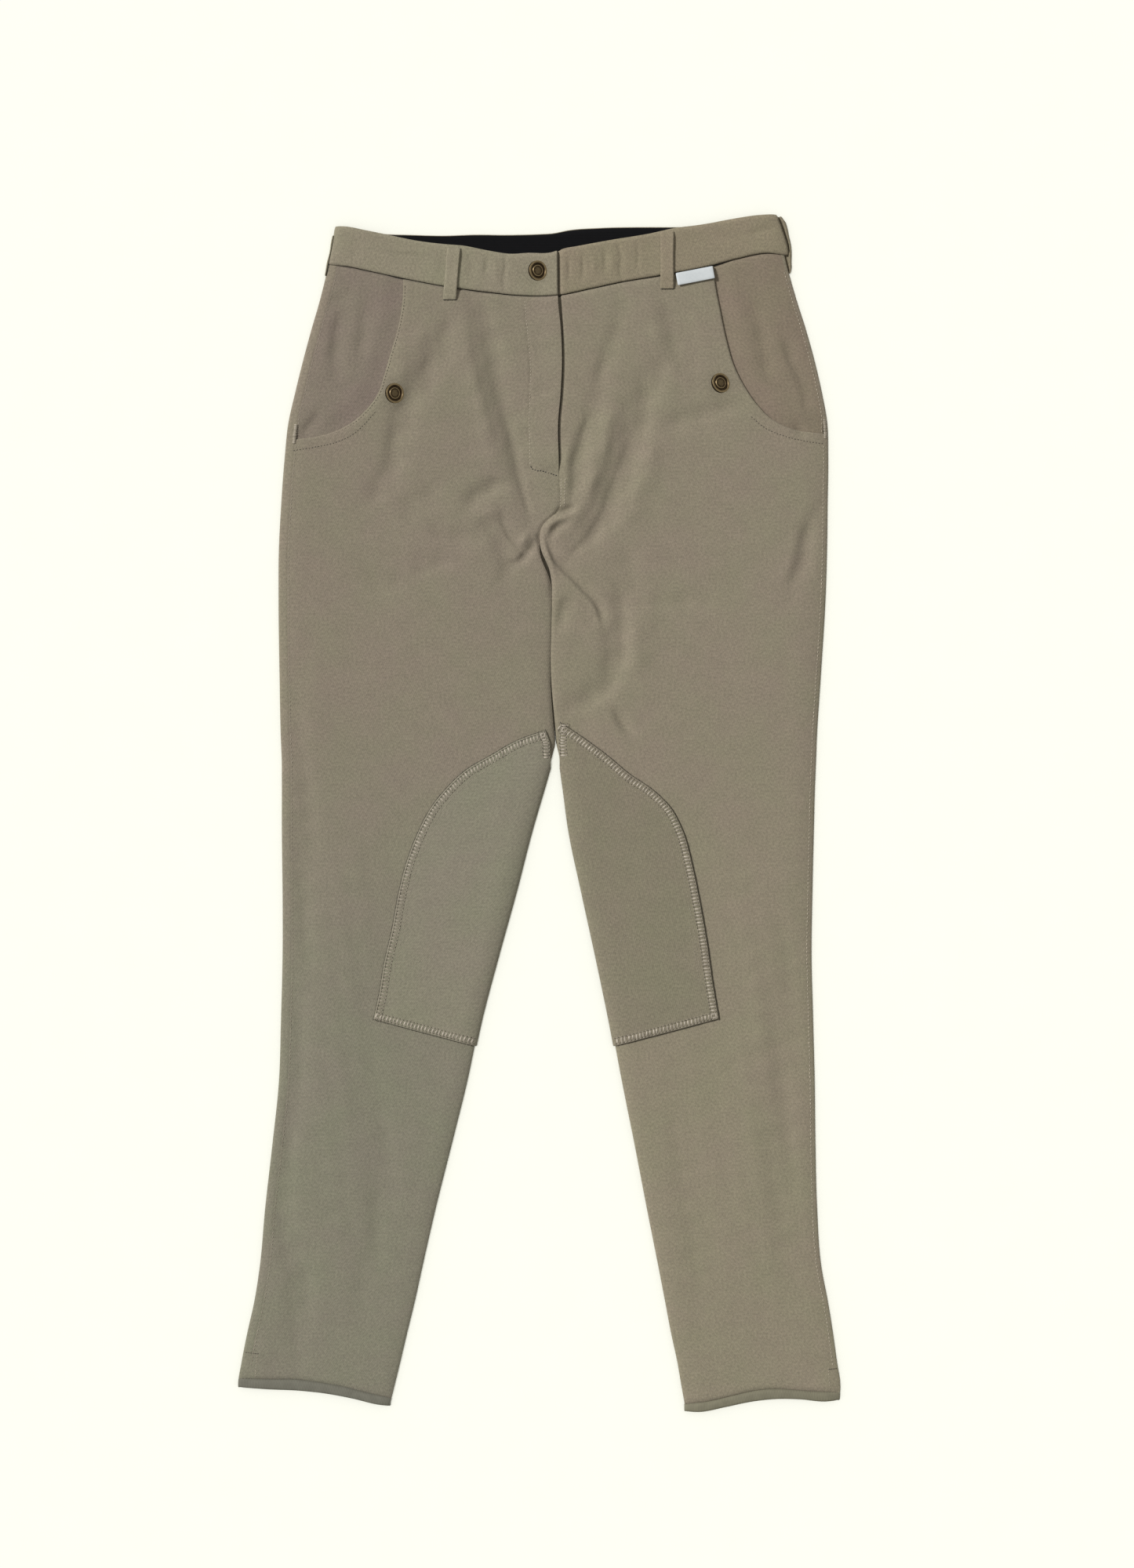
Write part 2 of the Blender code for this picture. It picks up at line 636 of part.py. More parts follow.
def make_facing():
    back_top = curve(BACK_TOP_LINE.x, BACK_TOP_LINE.down)
    grid = plan(lambda x: back_top(x) + SEAM, lambda x: waist(x) - STEP_DOWN,
                lambda down: RIGHT.side(down) + FACING_IN, lambda down: LEFT.side(down) - FACING_IN,
                steps(2), steps(16))
    outer = [[world(x, down, FACING[1]) for x, down in row] for row in grid]
    inner = [[world(x, down, FACING[0]) for x, down in row] for row in grid]
    return wall("waistband_facing", outer, inner, "facing_black")


def make_fly_shield():
    grid = plan(lambda x: waist(x) + 1.0, lambda x: FLY_END, lambda down: FLY_SIDES[0],
                lambda down: FLY_SIDES[1], steps(7), steps(4))
    sheets = []
    for depth in SHIELD:
        sheets.append([[top_point(RIGHT if x < RIGHT.inner(down) else LEFT, x, down, depth)
                        for x, down in row] for row in grid])
    return wall("fly_shield", sheets[0], sheets[1], "twill")


def lying_height(leg, x, down):
    """Height of what lies on the front at a place: the waistband, or the panel below it."""
    below = min(max((down - waist(x)) / STEP_DOWN, 0.0), 1.0)
    panel = top_point(leg, x, down).z / MM
    return front_band_height(leg, x, down)[1] * (1 - below) + panel * below


def make_front_loop(name, x_top, down_top, x_end, down_end):
    leg = RIGHT if name == "right" else LEFT
    outer = []
    inner = []
    for t in steps(9):
        down = down_top + (down_end - down_top) * t
        middle = x_top + (x_end - x_top) * t
        xs = [middle + LOOP_WIDTH * side for side in (-0.5, 0, 0.5)]
        ground = SEAM + max(lying_height(leg, x, down + shift) for x in xs for shift in (-STEP_DOWN, 0))
        outer.append([world(x, down, ground + LOOP) for x in xs])
        inner.append([world(x, down, ground) for x in xs])
    return wall("belt_loop_front_" + name, outer, inner, "twill")


def make_side_loop(name, down_top, down_end, bulge):
    """A loop that stands out from the band's side edge, as half of an oval ring."""
    leg = RIGHT if name == "right" else LEFT
    outer = []
    inner = []
    for t in steps(7):
        down = down_top + (down_end - down_top) * t
        edge = leg.side(down) + leg.sign * SEAM
        reach = max(LOOP + 0.15, bulge * math.sin(math.pi * (0.2 + 0.65 * t)) ** 0.5)
        lines = ([], [])
        for a in steps(6):
            angle = math.pi * (0.5 - a)
            for line, shrink in zip(lines, (0.0, LOOP)):
                x = edge + leg.sign * (reach - shrink) * math.cos(angle)
                z = SIDE_LOOP_MIDDLE + (SIDE_LOOP_HALF - shrink) * math.sin(angle)
                line.append(world(x, down, z))
        outer.append(lines[0])
        inner.append(lines[1])
    return wall("belt_loop_side_" + name, outer, inner, "twill")


def make_tab():
    """The white tab, which lies on the left front along the waist seam."""
    corners = list(zip(TAB_CORNERS.x, TAB_CORNERS.down))
    outer = []
    inner = []
    for r in steps(2):
        lines = ([], [])
        for f in steps(5):
            top = Vector(corners[0]).lerp(Vector(corners[1]), f)
            low = Vector(corners[3]).lerp(Vector(corners[2]), f)
            place = top.lerp(low, r)
            ground = top_point(LEFT, place.x, place.y)
            lines[0].append(ground + Vector((0, 0, (TAB_GAP + TAB) * MM)))
            lines[1].append(ground + Vector((0, 0, TAB_GAP * MM)))
        outer.append(lines[0])
        inner.append(lines[1])
    return wall("label_tab", outer, inner, "label_white")


def make_button(name, x, down, turn):
    """A domed shank button, tilted on its thread so that its inner side stands up."""
    shape = bmesh.new()
    profile = [shape.verts.new((r * MM, 0, h * MM)) for r, h in zip(*vars(BUTTON_PROFILE).values())]
    edges = [shape.edges.new(pair) for pair in zip(profile, profile[1:])]
    bmesh.ops.spin(shape, geom=profile + edges, cent=(0, 0, 0), axis=(0, 0, 1),
                   angle=math.tau, steps=24, use_duplicate=False)
    bmesh.ops.remove_doubles(shape, verts=shape.verts, dist=1e-6)
    bmesh.ops.recalc_face_normals(shape, faces=shape.faces)
    tilt = Matrix.Rotation(math.radians(turn), 3, "Z") @ Matrix.Rotation(BUTTON_TILT, 3, "Y")
    bmesh.ops.transform(shape, matrix=tilt.to_4x4(), verts=shape.verts)
    lowest = min(v.co.z for v in shape.verts)
    leg = LEFT if name == "pocket_left" else RIGHT
    reach = BUTTON_RADIUS
    spots = [(x + dx, down + dy) for dx in (-reach, 0, reach) for dy in (-reach, 0, reach)]
    ground = max(lying_height(leg, *spot) for spot in spots)
    place = world(x, down, ground + SEAM) - Vector((0, 0, lowest))
    data = bpy.data.meshes.new("button_" + name)
    shape.to_mesh(data)
    shape.free()
    piece = link_object("button_" + name, data, "antique_brass")
    piece.location = place
    return piece


def make_materials():
    made = {}
    for name, red, green, blue, roughness, metallic in zip(*vars(COLOURS).values()):
        material = bpy.data.materials.new(name)
        material.use_nodes = True
        shader = material.node_tree.nodes["Principled BSDF"]
        shader.inputs["Base Color"].default_value = (red, green, blue, 1)
        shader.inputs["Roughness"].default_value = roughness
        shader.inputs["Metallic"].default_value = metallic
        made[name] = material
    return made


def centre(pieces):
    """Puts the middle of the whole outline over the origin."""
    bpy.context.view_layer.update()
    corners = np.array([piece.matrix_world @ v.co for piece in pieces for v in piece.data.vertices])
    middle = (corners.min(axis=0) + corners.max(axis=0)) / 2
    for piece in pieces:
        piece.location.x -= middle[0]
        piece.location.y -= middle[1]


for old in list(bpy.data.objects):
    bpy.data.objects.remove(old)
MATERIALS = make_materials()


def main():
    pieces = []
    for leg in (RIGHT, LEFT):
        for make in (make_front, make_back, make_inset, make_patch, make_hem_band, make_front_band):
            pieces.append(make(leg))
    pieces += [make_back_band(), make_facing(), make_fly_shield(), make_tab()]
    pieces += [make_front_loop(*row) for row in zip(*vars(FRONT_LOOPS).values())]
    pieces += [make_side_loop(*row) for row in zip(*vars(SIDE_LOOPS).values())]
    pieces += [make_button(*row) for row in zip(*vars(BUTTONS).values())]
    centre(pieces)


main()
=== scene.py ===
# %% [markdown]
# # Riding breeches, laid flat
#
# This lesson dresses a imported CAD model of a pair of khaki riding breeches. They lie on their
# back with the fly up, the waist toward +Y and the wearer's right leg toward -X. The CAD solids
# are few and plain, so that a physics engine can use them. Here each panel is cut again as a fine
# sheet, with its folds, its stitches and a woven finish.

# %% Load the frame
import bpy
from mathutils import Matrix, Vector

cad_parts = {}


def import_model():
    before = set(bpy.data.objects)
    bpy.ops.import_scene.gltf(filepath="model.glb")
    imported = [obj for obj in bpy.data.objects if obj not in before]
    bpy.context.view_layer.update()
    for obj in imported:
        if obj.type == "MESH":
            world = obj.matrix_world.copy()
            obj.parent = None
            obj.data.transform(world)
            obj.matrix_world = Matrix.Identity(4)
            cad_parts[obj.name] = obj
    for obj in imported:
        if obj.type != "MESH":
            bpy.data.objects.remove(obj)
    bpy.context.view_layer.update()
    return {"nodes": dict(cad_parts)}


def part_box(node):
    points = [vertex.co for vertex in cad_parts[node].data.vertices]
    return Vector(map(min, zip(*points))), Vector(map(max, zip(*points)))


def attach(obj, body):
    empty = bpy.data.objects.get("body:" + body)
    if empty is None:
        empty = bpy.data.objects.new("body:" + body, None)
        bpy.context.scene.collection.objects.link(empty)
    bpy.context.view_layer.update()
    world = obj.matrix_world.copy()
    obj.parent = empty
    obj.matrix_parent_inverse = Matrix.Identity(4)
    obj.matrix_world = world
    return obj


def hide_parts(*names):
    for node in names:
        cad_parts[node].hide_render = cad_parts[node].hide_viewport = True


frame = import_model()

import math
from types import SimpleNamespace

import bmesh
import bpy
import numpy as np
from mathutils import Matrix, Vector

print("nodes in the frame:", sorted(frame["nodes"]))

# %% [markdown]
# ## The pattern pieces in numbers
#
# A flat garment is easiest to describe as its maker sees it: x runs across from the middle and
# down runs from the waist to the hems, both in millimetres. These are the lines that the CAD model
# was cut from, so a sheet that is cut from them again lies exactly where its solid lies.

# %% Sizes in millimetres
MM = 0.001
CLOTH = 1.1
SEAM = 0.3
PATCH_GAP = 0.6
PATCH = 1.0
LENGTH = 977.3
CROTCH = 431
EDGE = 2.8
SIDE_ROLL = 22.0
INNER_ROLL = 16.0
UNDER_ROLL = 4.0
BACK_BAND = 2.2
FACING = (2.5, 3.5)
BAND_UNDER = 3.8
BAND_TOP = 5.9
BAND_EDGE = 3.9
BAND_ROLL = 12.0
BAND_SIDE = (4.0, 14.0)
FACING_IN = 16.0
STEP_DOWN = 4.0
INSET_DEPTH = {"right": CLOTH + 0.25, "left": CLOTH + 0.7}
INSET_BLEND = 18.0
INSET_HIDDEN = 11.0
SHIELD = (2.5, 3.2)
FLY_END = 212.0
FLY_SIDES = (-4.5, 30.5)
LOOP_WIDTH = 10.4
LOOP = 1.0
TAB = 1.0
HEM_BAND = 1.3
MOUTH_INNER_LEVEL = 0.19
LEVEL_ROWS_START = 0.30
PATCH_INSEAM = (452.0, 678.4)
SIDE_LOOP_MIDDLE = 2.6
SIDE_LOOP_HALF = 2.2
print("waist to hem:", LENGTH, "mm")

# %% A table as named columns
def table(columns, rows):
    """A table as one array of numbers for each named column."""
    return SimpleNamespace(**{name: np.array(column) for name, column in zip(columns.split(), zip(*rows))})


EDGES = table("down right_side right_inner left_inner left_side", (
    (0, -164.5, 14.2, 14.2, 190.7),
    (25, -168.6, 14.4, 14.4, 198.6),
    (45, -172.8, 14.6, 14.6, 203.6),
    (71, -179.2, 15.2, 15.2, 211.0),
    (93, -185.6, 17.4, 17.4, 218.0),
    (119, -192.6, 18.4, 18.4, 225.2),
    (145, -199.0, 17.3, 17.3, 231.2),
    (170, -204.6, 15.2, 15.2, 235.6),
    (196, -207.4, 15.6, 15.6, 236.3),
    (239, -210.6, 16.6, 16.6, 235.8),
    (272, -212.3, 12.8, 12.8, 235.4),
    (312, -212.6, 10.4, 10.4, 234.2),
    (375, -211.8, 9.6, 9.6, 230.4),
    (431, -210.6, 13.8, 13.8, 226.9),
    (445, -210.0, 10.2, 17.3, 226.4),
    (465, -209.9, 4.5, 20.4, 225.6),
    (503, -209.9, -6.6, 25.6, 224.6),
    (554, -209.3, -19.8, 36.3, 223.4),
    (605, -209.3, -33.9, 47.4, 222.7),
    (657, -210.6, -47.6, 58.2, 224.0),
    (708, -212.3, -58.4, 67.8, 225.3),
    (759, -217.6, -71.0, 78.0, 225.9),
    (810, -223.4, -83.8, 87.8, 227.2),
    (861, -228.2, -95.4, 97.9, 231.0),
    (887, -232.3, -101.1, 102.9, 236.0),
    (913, -238.1, -107.4, 107.8, 240.2),
    (938, -243.0, -113.3, 113.2, 243.7),
    (954, -245.6, -117.2, 115.9, 246.2),
    (970, -244.6, -121.2, 118.8, 245.6),
))
print("rows in the outline table:", len(EDGES.down))

# %% Lines of the waistband, the hems and the pocket mouths
BAND_TOP_LINE = table("x down", (
    (-166, 9.6), (-155, 10.2), (-142, 12.8), (-129, 15.4), (-97, 21.8), (-76, 24.3), (-61, 25.6),
    (-42, 29.4), (-23, 32.1), (-9, 31.4), (12, 30.7), (17, 28.8), (33, 25.6), (57, 21.1),
    (90, 15.7), (114, 10.6), (127, 9.0), (140, 7.0), (152, 4.7), (165, 2.4), (178, 0.6), (191, 0.0),
))
BACK_TOP_LINE = table("x down", (
    (-166, 10.6), (-142, 13.8), (-129, 15.6), (-104, 16.6), (-78, 17.2), (-52, 16.4), (-27, 16.6),
    (-1, 16.0), (12, 15.2), (24, 12.8), (50, 10.9), (88, 10.2), (114, 10.2), (127, 9.9),
    (152, 6.0), (178, 1.8), (191, 1.0),
))
WAIST_SEAM = table("x down", (
    (-171, 40.3), (-158, 41.6), (-136, 46.1), (-111, 51.5), (-79, 57.6), (-42, 62.7), (-18, 65.3),
    (15, 65.3), (41, 60.2), (65, 55.0), (98, 49.3), (141, 41.0), (163, 35.2), (186, 30.9),
    (203, 32.6),
))
RIGHT_HEM_SEAM = table("x down", (
    (-245, 950.2), (-216, 951.0), (-198, 951.2), (-179, 953.6), (-160, 956.8), (-141, 961.6),
    (-118, 966.6),
))
LEFT_HEM_SEAM = table("x down", (
    (120, 971.0), (139, 968.8), (157, 964.6), (177, 960.2), (191, 958.8), (205, 959.4),
    (223, 960.8), (246, 961.6),
))
RIGHT_HEM_END = table("x down", (
    (-246, 957.0), (-223, 958.7), (-193, 960.2), (-172, 962.6), (-152, 966.4), (-131, 971.3),
    (-119, 972.4),
))
LEFT_HEM_END = table("x down", (
    (118, 976.6), (131, 977.3), (152, 973.4), (172, 969.2), (193, 966.8), (213, 967.0),
    (234, 968.8), (247, 967.4),
))
RIGHT_MOUTH = table("x down", (
    (-110.7, 52.0), (-111.0, 68.0), (-114.0, 88.0), (-121.0, 113.5), (-126.0, 130.5),
    (-131.5, 146.5), (-140.0, 158.2), (-150.5, 168.0), (-160.0, 173.8), (-173.0, 179.0),
    (-189.0, 182.2), (-199.0, 183.0),
))
LEFT_MOUTH = table("x down", (
    (142.0, 41.0), (143.4, 55.0), (147.8, 78.4), (153.0, 103.0), (158.7, 122.5), (167.4, 140.0),
    (178.2, 155.5), (190.7, 167.6), (205.4, 174.7), (221.4, 177.9), (233.8, 178.9),
))
RIGHT_PATCH = table("x down", (
    (4.8, 421.4), (-18.0, 429.8), (-37.6, 440.9), (-61.0, 455.0), (-76.0, 469.5), (-87.5, 484.0),
    (-98.0, 504.0), (-107.0, 527.0), (-114.0, 554.0), (-119.5, 584.0), (-126.0, 612.0),
    (-129.5, 634.0), (-134.5, 656.5),
))
LEFT_PATCH = table("x down", (
    (18.2, 415.2), (36.4, 427.6), (55.0, 441.2), (74.0, 457.0), (93.0, 470.0), (107.5, 484.5),
    (118.0, 505.0), (125.0, 531.0), (131.0, 560.0), (137.0, 594.0), (141.5, 626.0), (146.6, 656.0),
))
print("waist seam at the fly:", WAIST_SEAM.down[7], "mm down")

# %% Small parts
FRONT_LOOPS = {"right": (-69.5, 27.5, -73.0, 69.0), "left": (104.5, 14.0, 104.5, 60.0)}
SIDE_LOOPS = {"right": (17.0, 49.0, 1.3), "left": (1.5, 47.0, 3.4)}
TAB_CORNERS = ((111.9, 47.9), (141.6, 42.1), (143.4, 51.7), (113.7, 57.5))
BUTTONS = {"waist": (-1.6, 46.4, 0.0), "pocket_right": (-118.1, 146.2, 0.0),
           "pocket_left": (147.4, 138.2, 20.0)}
BUTTON_RADIUS = 8.15
BUTTON_TILT = 30.0
print("buttons:", ", ".join(BUTTONS))

# %% How high the cloth lies
ROLL_SHARE = table("down inner under", (
    (0, 0.0, 0.0), (238, 0.0, 0.0), (272, 0.25, 0.0), (312, 0.5, 0.0), (375, 0.6, 0.0),
    (400, 0.732, 0.0), (431, 0.9, 0.5636), (455, 1.0, 1.0), (980, 1.0, 1.0),
))
LOFT = table("down height", (
    (0, 5.2), (60, 5.2), (200, 5.6), (420, 5.7), (700, 5.3), (900, 4.9), (980, 4.4),
))
print("highest loft:", LOFT.height.max(), "mm")

# %% [markdown]
# ## Smooth lines through the tables
#
# A paper pattern is drawn with a French curve through a few marks. The same is done here with a
# cubic through each table: its slope at a mark comes from the marks on both sides. NumPy works on
# whole arrays, so one call gives thousands of places on the cloth at once.

# %% Curves
def curve(xs, ys):
    """A smooth function through the points, level outside them."""
    slopes = np.gradient(ys.astype(float), xs.astype(float))

    def value(x):
        x = np.clip(x, xs[0], xs[-1])
        i = np.clip(np.searchsorted(xs, x, side="right") - 1, 0, len(xs) - 2)
        step = xs[i + 1] - xs[i]
        t = (x - xs[i]) / step
        start = (1 + 2 * t) * (1 - t) ** 2 * ys[i] + t * (1 - t) ** 2 * step * slopes[i]
        end = t * t * (3 - 2 * t) * ys[i + 1] + t * t * (t - 1) * step * slopes[i + 1]
        return start + end
    return value


def inner_edge(values):
    """The centre front down to the crotch, then the inseam, with a corner between them."""
    crotch = list(EDGES.down).index(CROTCH)
    centre_front = curve(EDGES.down[:crotch + 1], values[:crotch + 1])
    inseam = curve(EDGES.down[crotch:], values[crotch:])
    return lambda down: np.where(np.asarray(down) < CROTCH, centre_front(down), inseam(down))


FRONT_SEAM = table("down x", (
    (0, 14.2), (25, 14.4), (45, 14.6), (71, 15.2), (93, 17.4), (119, 18.4), (145, 17.3), (170, 15.2),
    (196, 15.6), (220, 16.6), (238, 17.0), (243, 14.4), (247, 9.4), (252, 4.0), (260, 0.6), (268, 0.7),
    (276, 2.3), (288, 7.3), (301, 10.2), (312, 10.4), (375, 9.6), (431, 13.8),
))


def front_edge(values):
    """The front's inner edge: the seam wanders to the right at the crotch, where the cloth is bunched."""
    crotch = list(EDGES.down).index(CROTCH)
    centre_front = curve(FRONT_SEAM.down, FRONT_SEAM.x)
    inseam = curve(EDGES.down[crotch:], values[crotch:])
    return lambda down: np.where(np.asarray(down) < CROTCH, centre_front(down), inseam(down))


def path(points):
    """A smooth path through a table's points, from 0 at its start to 1 at its end by length."""
    along = np.concatenate(([0.0], np.cumsum(np.hypot(np.diff(points.x), np.diff(points.down)))))
    along /= along[-1]
    x_at = curve(along, points.x)
    down_at = curve(along, points.down)
    return lambda s: (x_at(s), down_at(s))


def moved(points, left):
    """The same line, moved to its left by some millimetres as it is walked."""
    way_x = np.gradient(points.x.astype(float))
    way_down = np.gradient(points.down.astype(float))
    size = np.hypot(way_x, way_down)
    return SimpleNamespace(x=points.x + left * way_down / size, down=points.down - left * way_x / size)


def steps(count):
    """Evenly spaced shares from 0 to 1."""
    return np.linspace(0.0, 1.0, count + 1)


def soft_step(t):
    """0 below 0, 1 above 1, and a smooth slope between them."""
    t = np.clip(t, 0.0, 1.0)
    return t * t * (3 - 2 * t)


waist = curve(WAIST_SEAM.x, WAIST_SEAM.down)
loft = curve(LOFT.down, LOFT.height)
band_top = curve(BAND_TOP_LINE.x, BAND_TOP_LINE.down)
back_top = curve(BACK_TOP_LINE.x, BACK_TOP_LINE.down)
print("waist seam at the left hip:", round(float(waist(200.0)), 1), "mm down")

# %% The two legs
RIGHT = SimpleNamespace(
    name="right", sign=-1, seam_in=7.0,
    side=curve(EDGES.down, EDGES.right_side), inner=front_edge(EDGES.right_inner),
    back_inner=inner_edge(EDGES.right_inner),
    hem=curve(RIGHT_HEM_SEAM.x, RIGHT_HEM_SEAM.down), end=curve(RIGHT_HEM_END.x, RIGHT_HEM_END.down),
    mouth=path(RIGHT_MOUTH), patch=path(RIGHT_PATCH))
LEFT = SimpleNamespace(
    name="left", sign=1, seam_in=2.5,
    side=curve(EDGES.down, EDGES.left_side), inner=front_edge(EDGES.left_inner),
    back_inner=inner_edge(EDGES.left_inner),
    hem=curve(LEFT_HEM_SEAM.x, LEFT_HEM_SEAM.down), end=curve(LEFT_HEM_END.x, LEFT_HEM_END.down),
    mouth=path(LEFT_MOUTH), patch=path(LEFT_PATCH))
LEGS = (RIGHT, LEFT)
for leg in LEGS:
    print(leg.name, "hem is", round(float(abs(leg.side(950.0) - leg.inner(950.0)))), "mm wide")

# %% Place in the frame
# The CAD model was centred after it was made, by a fraction of a millimetre. The tab shows how far.
tab_low, tab_high = (np.array(corner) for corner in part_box("label_tab"))
SHIFT_X = float(tab_low[0]) - min(x for x, _ in TAB_CORNERS) * MM
SHIFT_Y = float(tab_high[1]) - (LENGTH / 2 - min(down for _, down in TAB_CORNERS)) * MM


def world(x, down, z):
    """Places in metres, as an array whose last axis is x, y, z."""
    x, down, z = np.broadcast_arrays(x, down, z)
    return np.stack((x * MM + SHIFT_X, (LENGTH / 2 - down) * MM + SHIFT_Y, z * MM), axis=-1)


print("the CAD model was moved by", round(SHIFT_X / MM, 2), round(SHIFT_Y / MM, 2), "mm")

# %% [markdown]
# ## Folds
#
# Cloth that is laid down by hand keeps a few soft folds, each with its own length and depth. A
# noise texture would spread the same wrinkle everywhere, so every fold is listed one by one instead:
# a smooth line, a depth, and a width on each side. A fold whose left bank is narrow and whose right
# bank is wide looks pressed over to one side, as most real folds are. A negative depth is a ridge.

# %% Folds of the front
FRONT_FOLDS = (
    # depth, width to the left, width to the right, places (x, down) along it
    (2.3, 6.5, 11.0, ((-54, 63), (-48, 82), (-43, 99), (-33, 143), (-24, 170), (-17, 207), (-6, 250))),
    (1.5, 2.6, 3.2, ((-26, 168), (-20.5, 190), (-17, 207), (-11, 232), (-5.5, 250))),
    (-1.2, 9.0, 6.0, ((-66, 72), (-60, 108), (-50, 146), (-41, 176), (-32, 212))),
    (2.1, 7.0, 11.0, ((-70, 84), (-82, 110), (-96, 136), (-110, 158), (-118, 190), (-126, 215), (-142, 238))),
    (-0.8, 10.0, 7.0, ((-92, 90), (-108, 118), (-122, 146))),
    (1.1, 9.0, 11.0, ((-112, 248), (-94, 234), (-76, 223))),
    (1.2, 6.0, 9.0, ((-88, 252), (-76, 262), (-60, 266), (-44, 262))),
    (2.0, 6.0, 7.0, ((-60, 240), (-52, 232), (-44, 226), (-32, 221), (-24, 226))),
    (-0.8, 8.0, 8.0, ((-52, 252), (-42, 244), (-32, 238))),
    (1.9, 2.2, 4.4, ((-31, 246), (-27, 256), (-21, 266), (-13, 273.5), (-8, 274))),
    (2.2, 2.6, 3.8, ((-1.5, 264), (-5.5, 271), (-10.5, 277), (-17, 283), (-24, 285))),
    (-1.1, 3.4, 3.4, ((-8, 260), (-12, 266), (-18, 271))),
    (1.3, 6.0, 10.0, ((-46, 246), (-36, 260), (-29, 278), (-28, 304))),
    (3.0, 2.2, 4.4, ((6.4, 266), (8.6, 272), (12.4, 280), (20, 289), (30, 298), (39.6, 308.7),
                     (48, 319), (53, 336))),
    (-1.4, 2.2, 2.4, ((4.4, 264), (6.2, 273), (9.6, 283), (12.5, 292))),
    (-1.2, 2.4, 3.4, ((6.0, 260), (9.5, 253.5), (15.5, 249.0), (25, 247.0))),
    (1.2, 3.0, 3.0, ((9.5, 266), (12.0, 259.0), (17.5, 254.5), (24, 252))),
    (2.1, 2.8, 3.0, ((13, 244.5), (18, 242.0), (24, 240.6), (30, 237))),
    (2.4, 12.0, 8.0, ((108, 114), (92, 140), (83, 170), (74, 200), (62, 232), (49, 258), (32, 276))),
    (2.0, 3.4, 4.6, ((78, 182), (70, 200), (61, 224), (53, 244), (41, 264), (26, 278))),
    (-1.6, 8.0, 6.0, ((64, 150), (57, 172), (50, 200), (42, 222), (32, 243), (22, 258))),
    (-0.8, 6.0, 9.0, ((96, 176), (90, 204), (80, 232), (70, 254))),
    (1.7, 4.0, 7.0, ((48, 152), (41, 168), (35, 184), (30, 203), (29.5, 222), (25, 240))),
    (1.1, 6.0, 8.0, ((66, 80), (57, 112), (48, 138), (38, 168))),
    (-0.7, 3.0, 4.0, ((26, 176), (23, 200), (22, 224))),
    (-0.9, 10.0, 12.0, ((80, 56), (88, 84), (98, 108), (106, 122))),
    (0.9, 8.0, 14.0, ((104, 66), (110, 92), (118, 118), (120, 150))),
    (1.2, 7.0, 9.0, ((168, 154), (148, 160), (124, 164), (100, 172))),
    (1.0, 10.0, 12.0, ((68, 268), (72, 296), (74, 326))),
    (3.0, 11.0, 6.0, ((68, 310), (67, 338), (66, 358), (62, 376), (47, 393), (25, 406))),
    (-0.9, 8.0, 10.0, ((86, 318), (82, 350), (83, 378))),
    (2.0, 5.0, 6.0, ((24, 312), (20, 324), (14.5, 338))),
    (1.0, 6.0, 6.0, ((21, 319), (30, 322), (40, 328), (48, 334))),
    (2.2, 2.4, 4.6, ((60, 405), (66, 413), (71, 419), (78, 425))),
    (0.7, 10.0, 12.0, ((16, 396), (34, 412), (50, 420))),
    (2.4, 5.0, 8.0, ((234, 236), (224, 250), (218, 264), (214, 280), (206, 304))),
    (-0.8, 6.0, 6.0, ((214, 262), (208, 282), (202, 300))),
    (0.9, 7.0, 9.0, ((80, 312), (112, 317), (144, 319))),
    (0.9, 6.0, 10.0, ((-102, 292), (-86, 286), (-70, 280))),
    (0.8, 8.0, 10.0, ((-150, 296), (-128, 302), (-108, 300))),
    (1.2, 11.0, 9.0, ((-190, 356), (-197.8, 391), (-197.8, 427), (-193, 460), (-192, 560),
                      (-196.5, 680))),
    (1.4, 11.0, 9.0, ((-195, 650), (-201, 731), (-209, 784), (-205.4, 837), (-193, 869),
                      (-194.6, 900), (-199, 945))),
    (-0.6, 22.0, 22.0, ((-150, 480), (-160, 620), (-165, 760), (-172, 900))),
    (-0.6, 20.0, 20.0, ((176, 520), (178, 640), (176, 780), (185, 900))),
    (0.8, 14.0, 14.0, ((206, 560), (202, 680), (203, 800), (214, 880))),
    (0.8, 9.0, 12.0, ((-140, 700), (-128, 760), (-133, 830), (-150, 900))),
    (0.6, 10.0, 12.0, ((112, 700), (118, 770), (130, 840), (136, 910))),
    (1.2, 5.0, 8.0, ((-158, 66), (-163, 90), (-167, 112), (-166, 134))),
    (1.1, 6.0, 6.0, ((-178, 76), (-168, 71), (-157, 68))),
    (1.1, 3.6, 6.0, ((-180, 160), (-184, 168), (-190, 175), (-195, 181))),
    (0.9, 6.0, 8.0, ((-140, 70), (-143, 96), (-148, 122))),
    (1.5, 3.6, 8.0, ((200, 100), (207, 120), (214, 134), (220, 165))),
    (1.1, 4.0, 4.0, ((207, 170), (213, 176), (218, 181))),
    (1.0, 7.0, 9.0, ((166, 60), (178, 86), (184, 112), (188, 140))),
    (0.6, 2.0, 2.6, ((-5, 108), (4, 110.5), (14, 109))),
    (0.5, 2.0, 2.6, ((-4, 143), (5, 145), (13, 144.5))),
    (0.45, 1.2, 1.2, ((-11.5, 68), (-9.6, 90), (-7, 116.5), (-7.7, 170.2), (-7, 206))),
    (0.5, 1.5, 1.5, ((-9, 204), (-5, 207.6), (3.2, 209.3), (15.2, 213.1))),
)
print("folds on the front:", len(FRONT_FOLDS))

# %% Depth of the folds at any place
def fold_line(places):
    """A smooth line of 48 samples through a fold's places, with its direction."""
    points = table("x down", places)
    x, down = path(points)(np.linspace(0.0, 1.0, 48))
    return x, down, np.gradient(x), np.gradient(down)


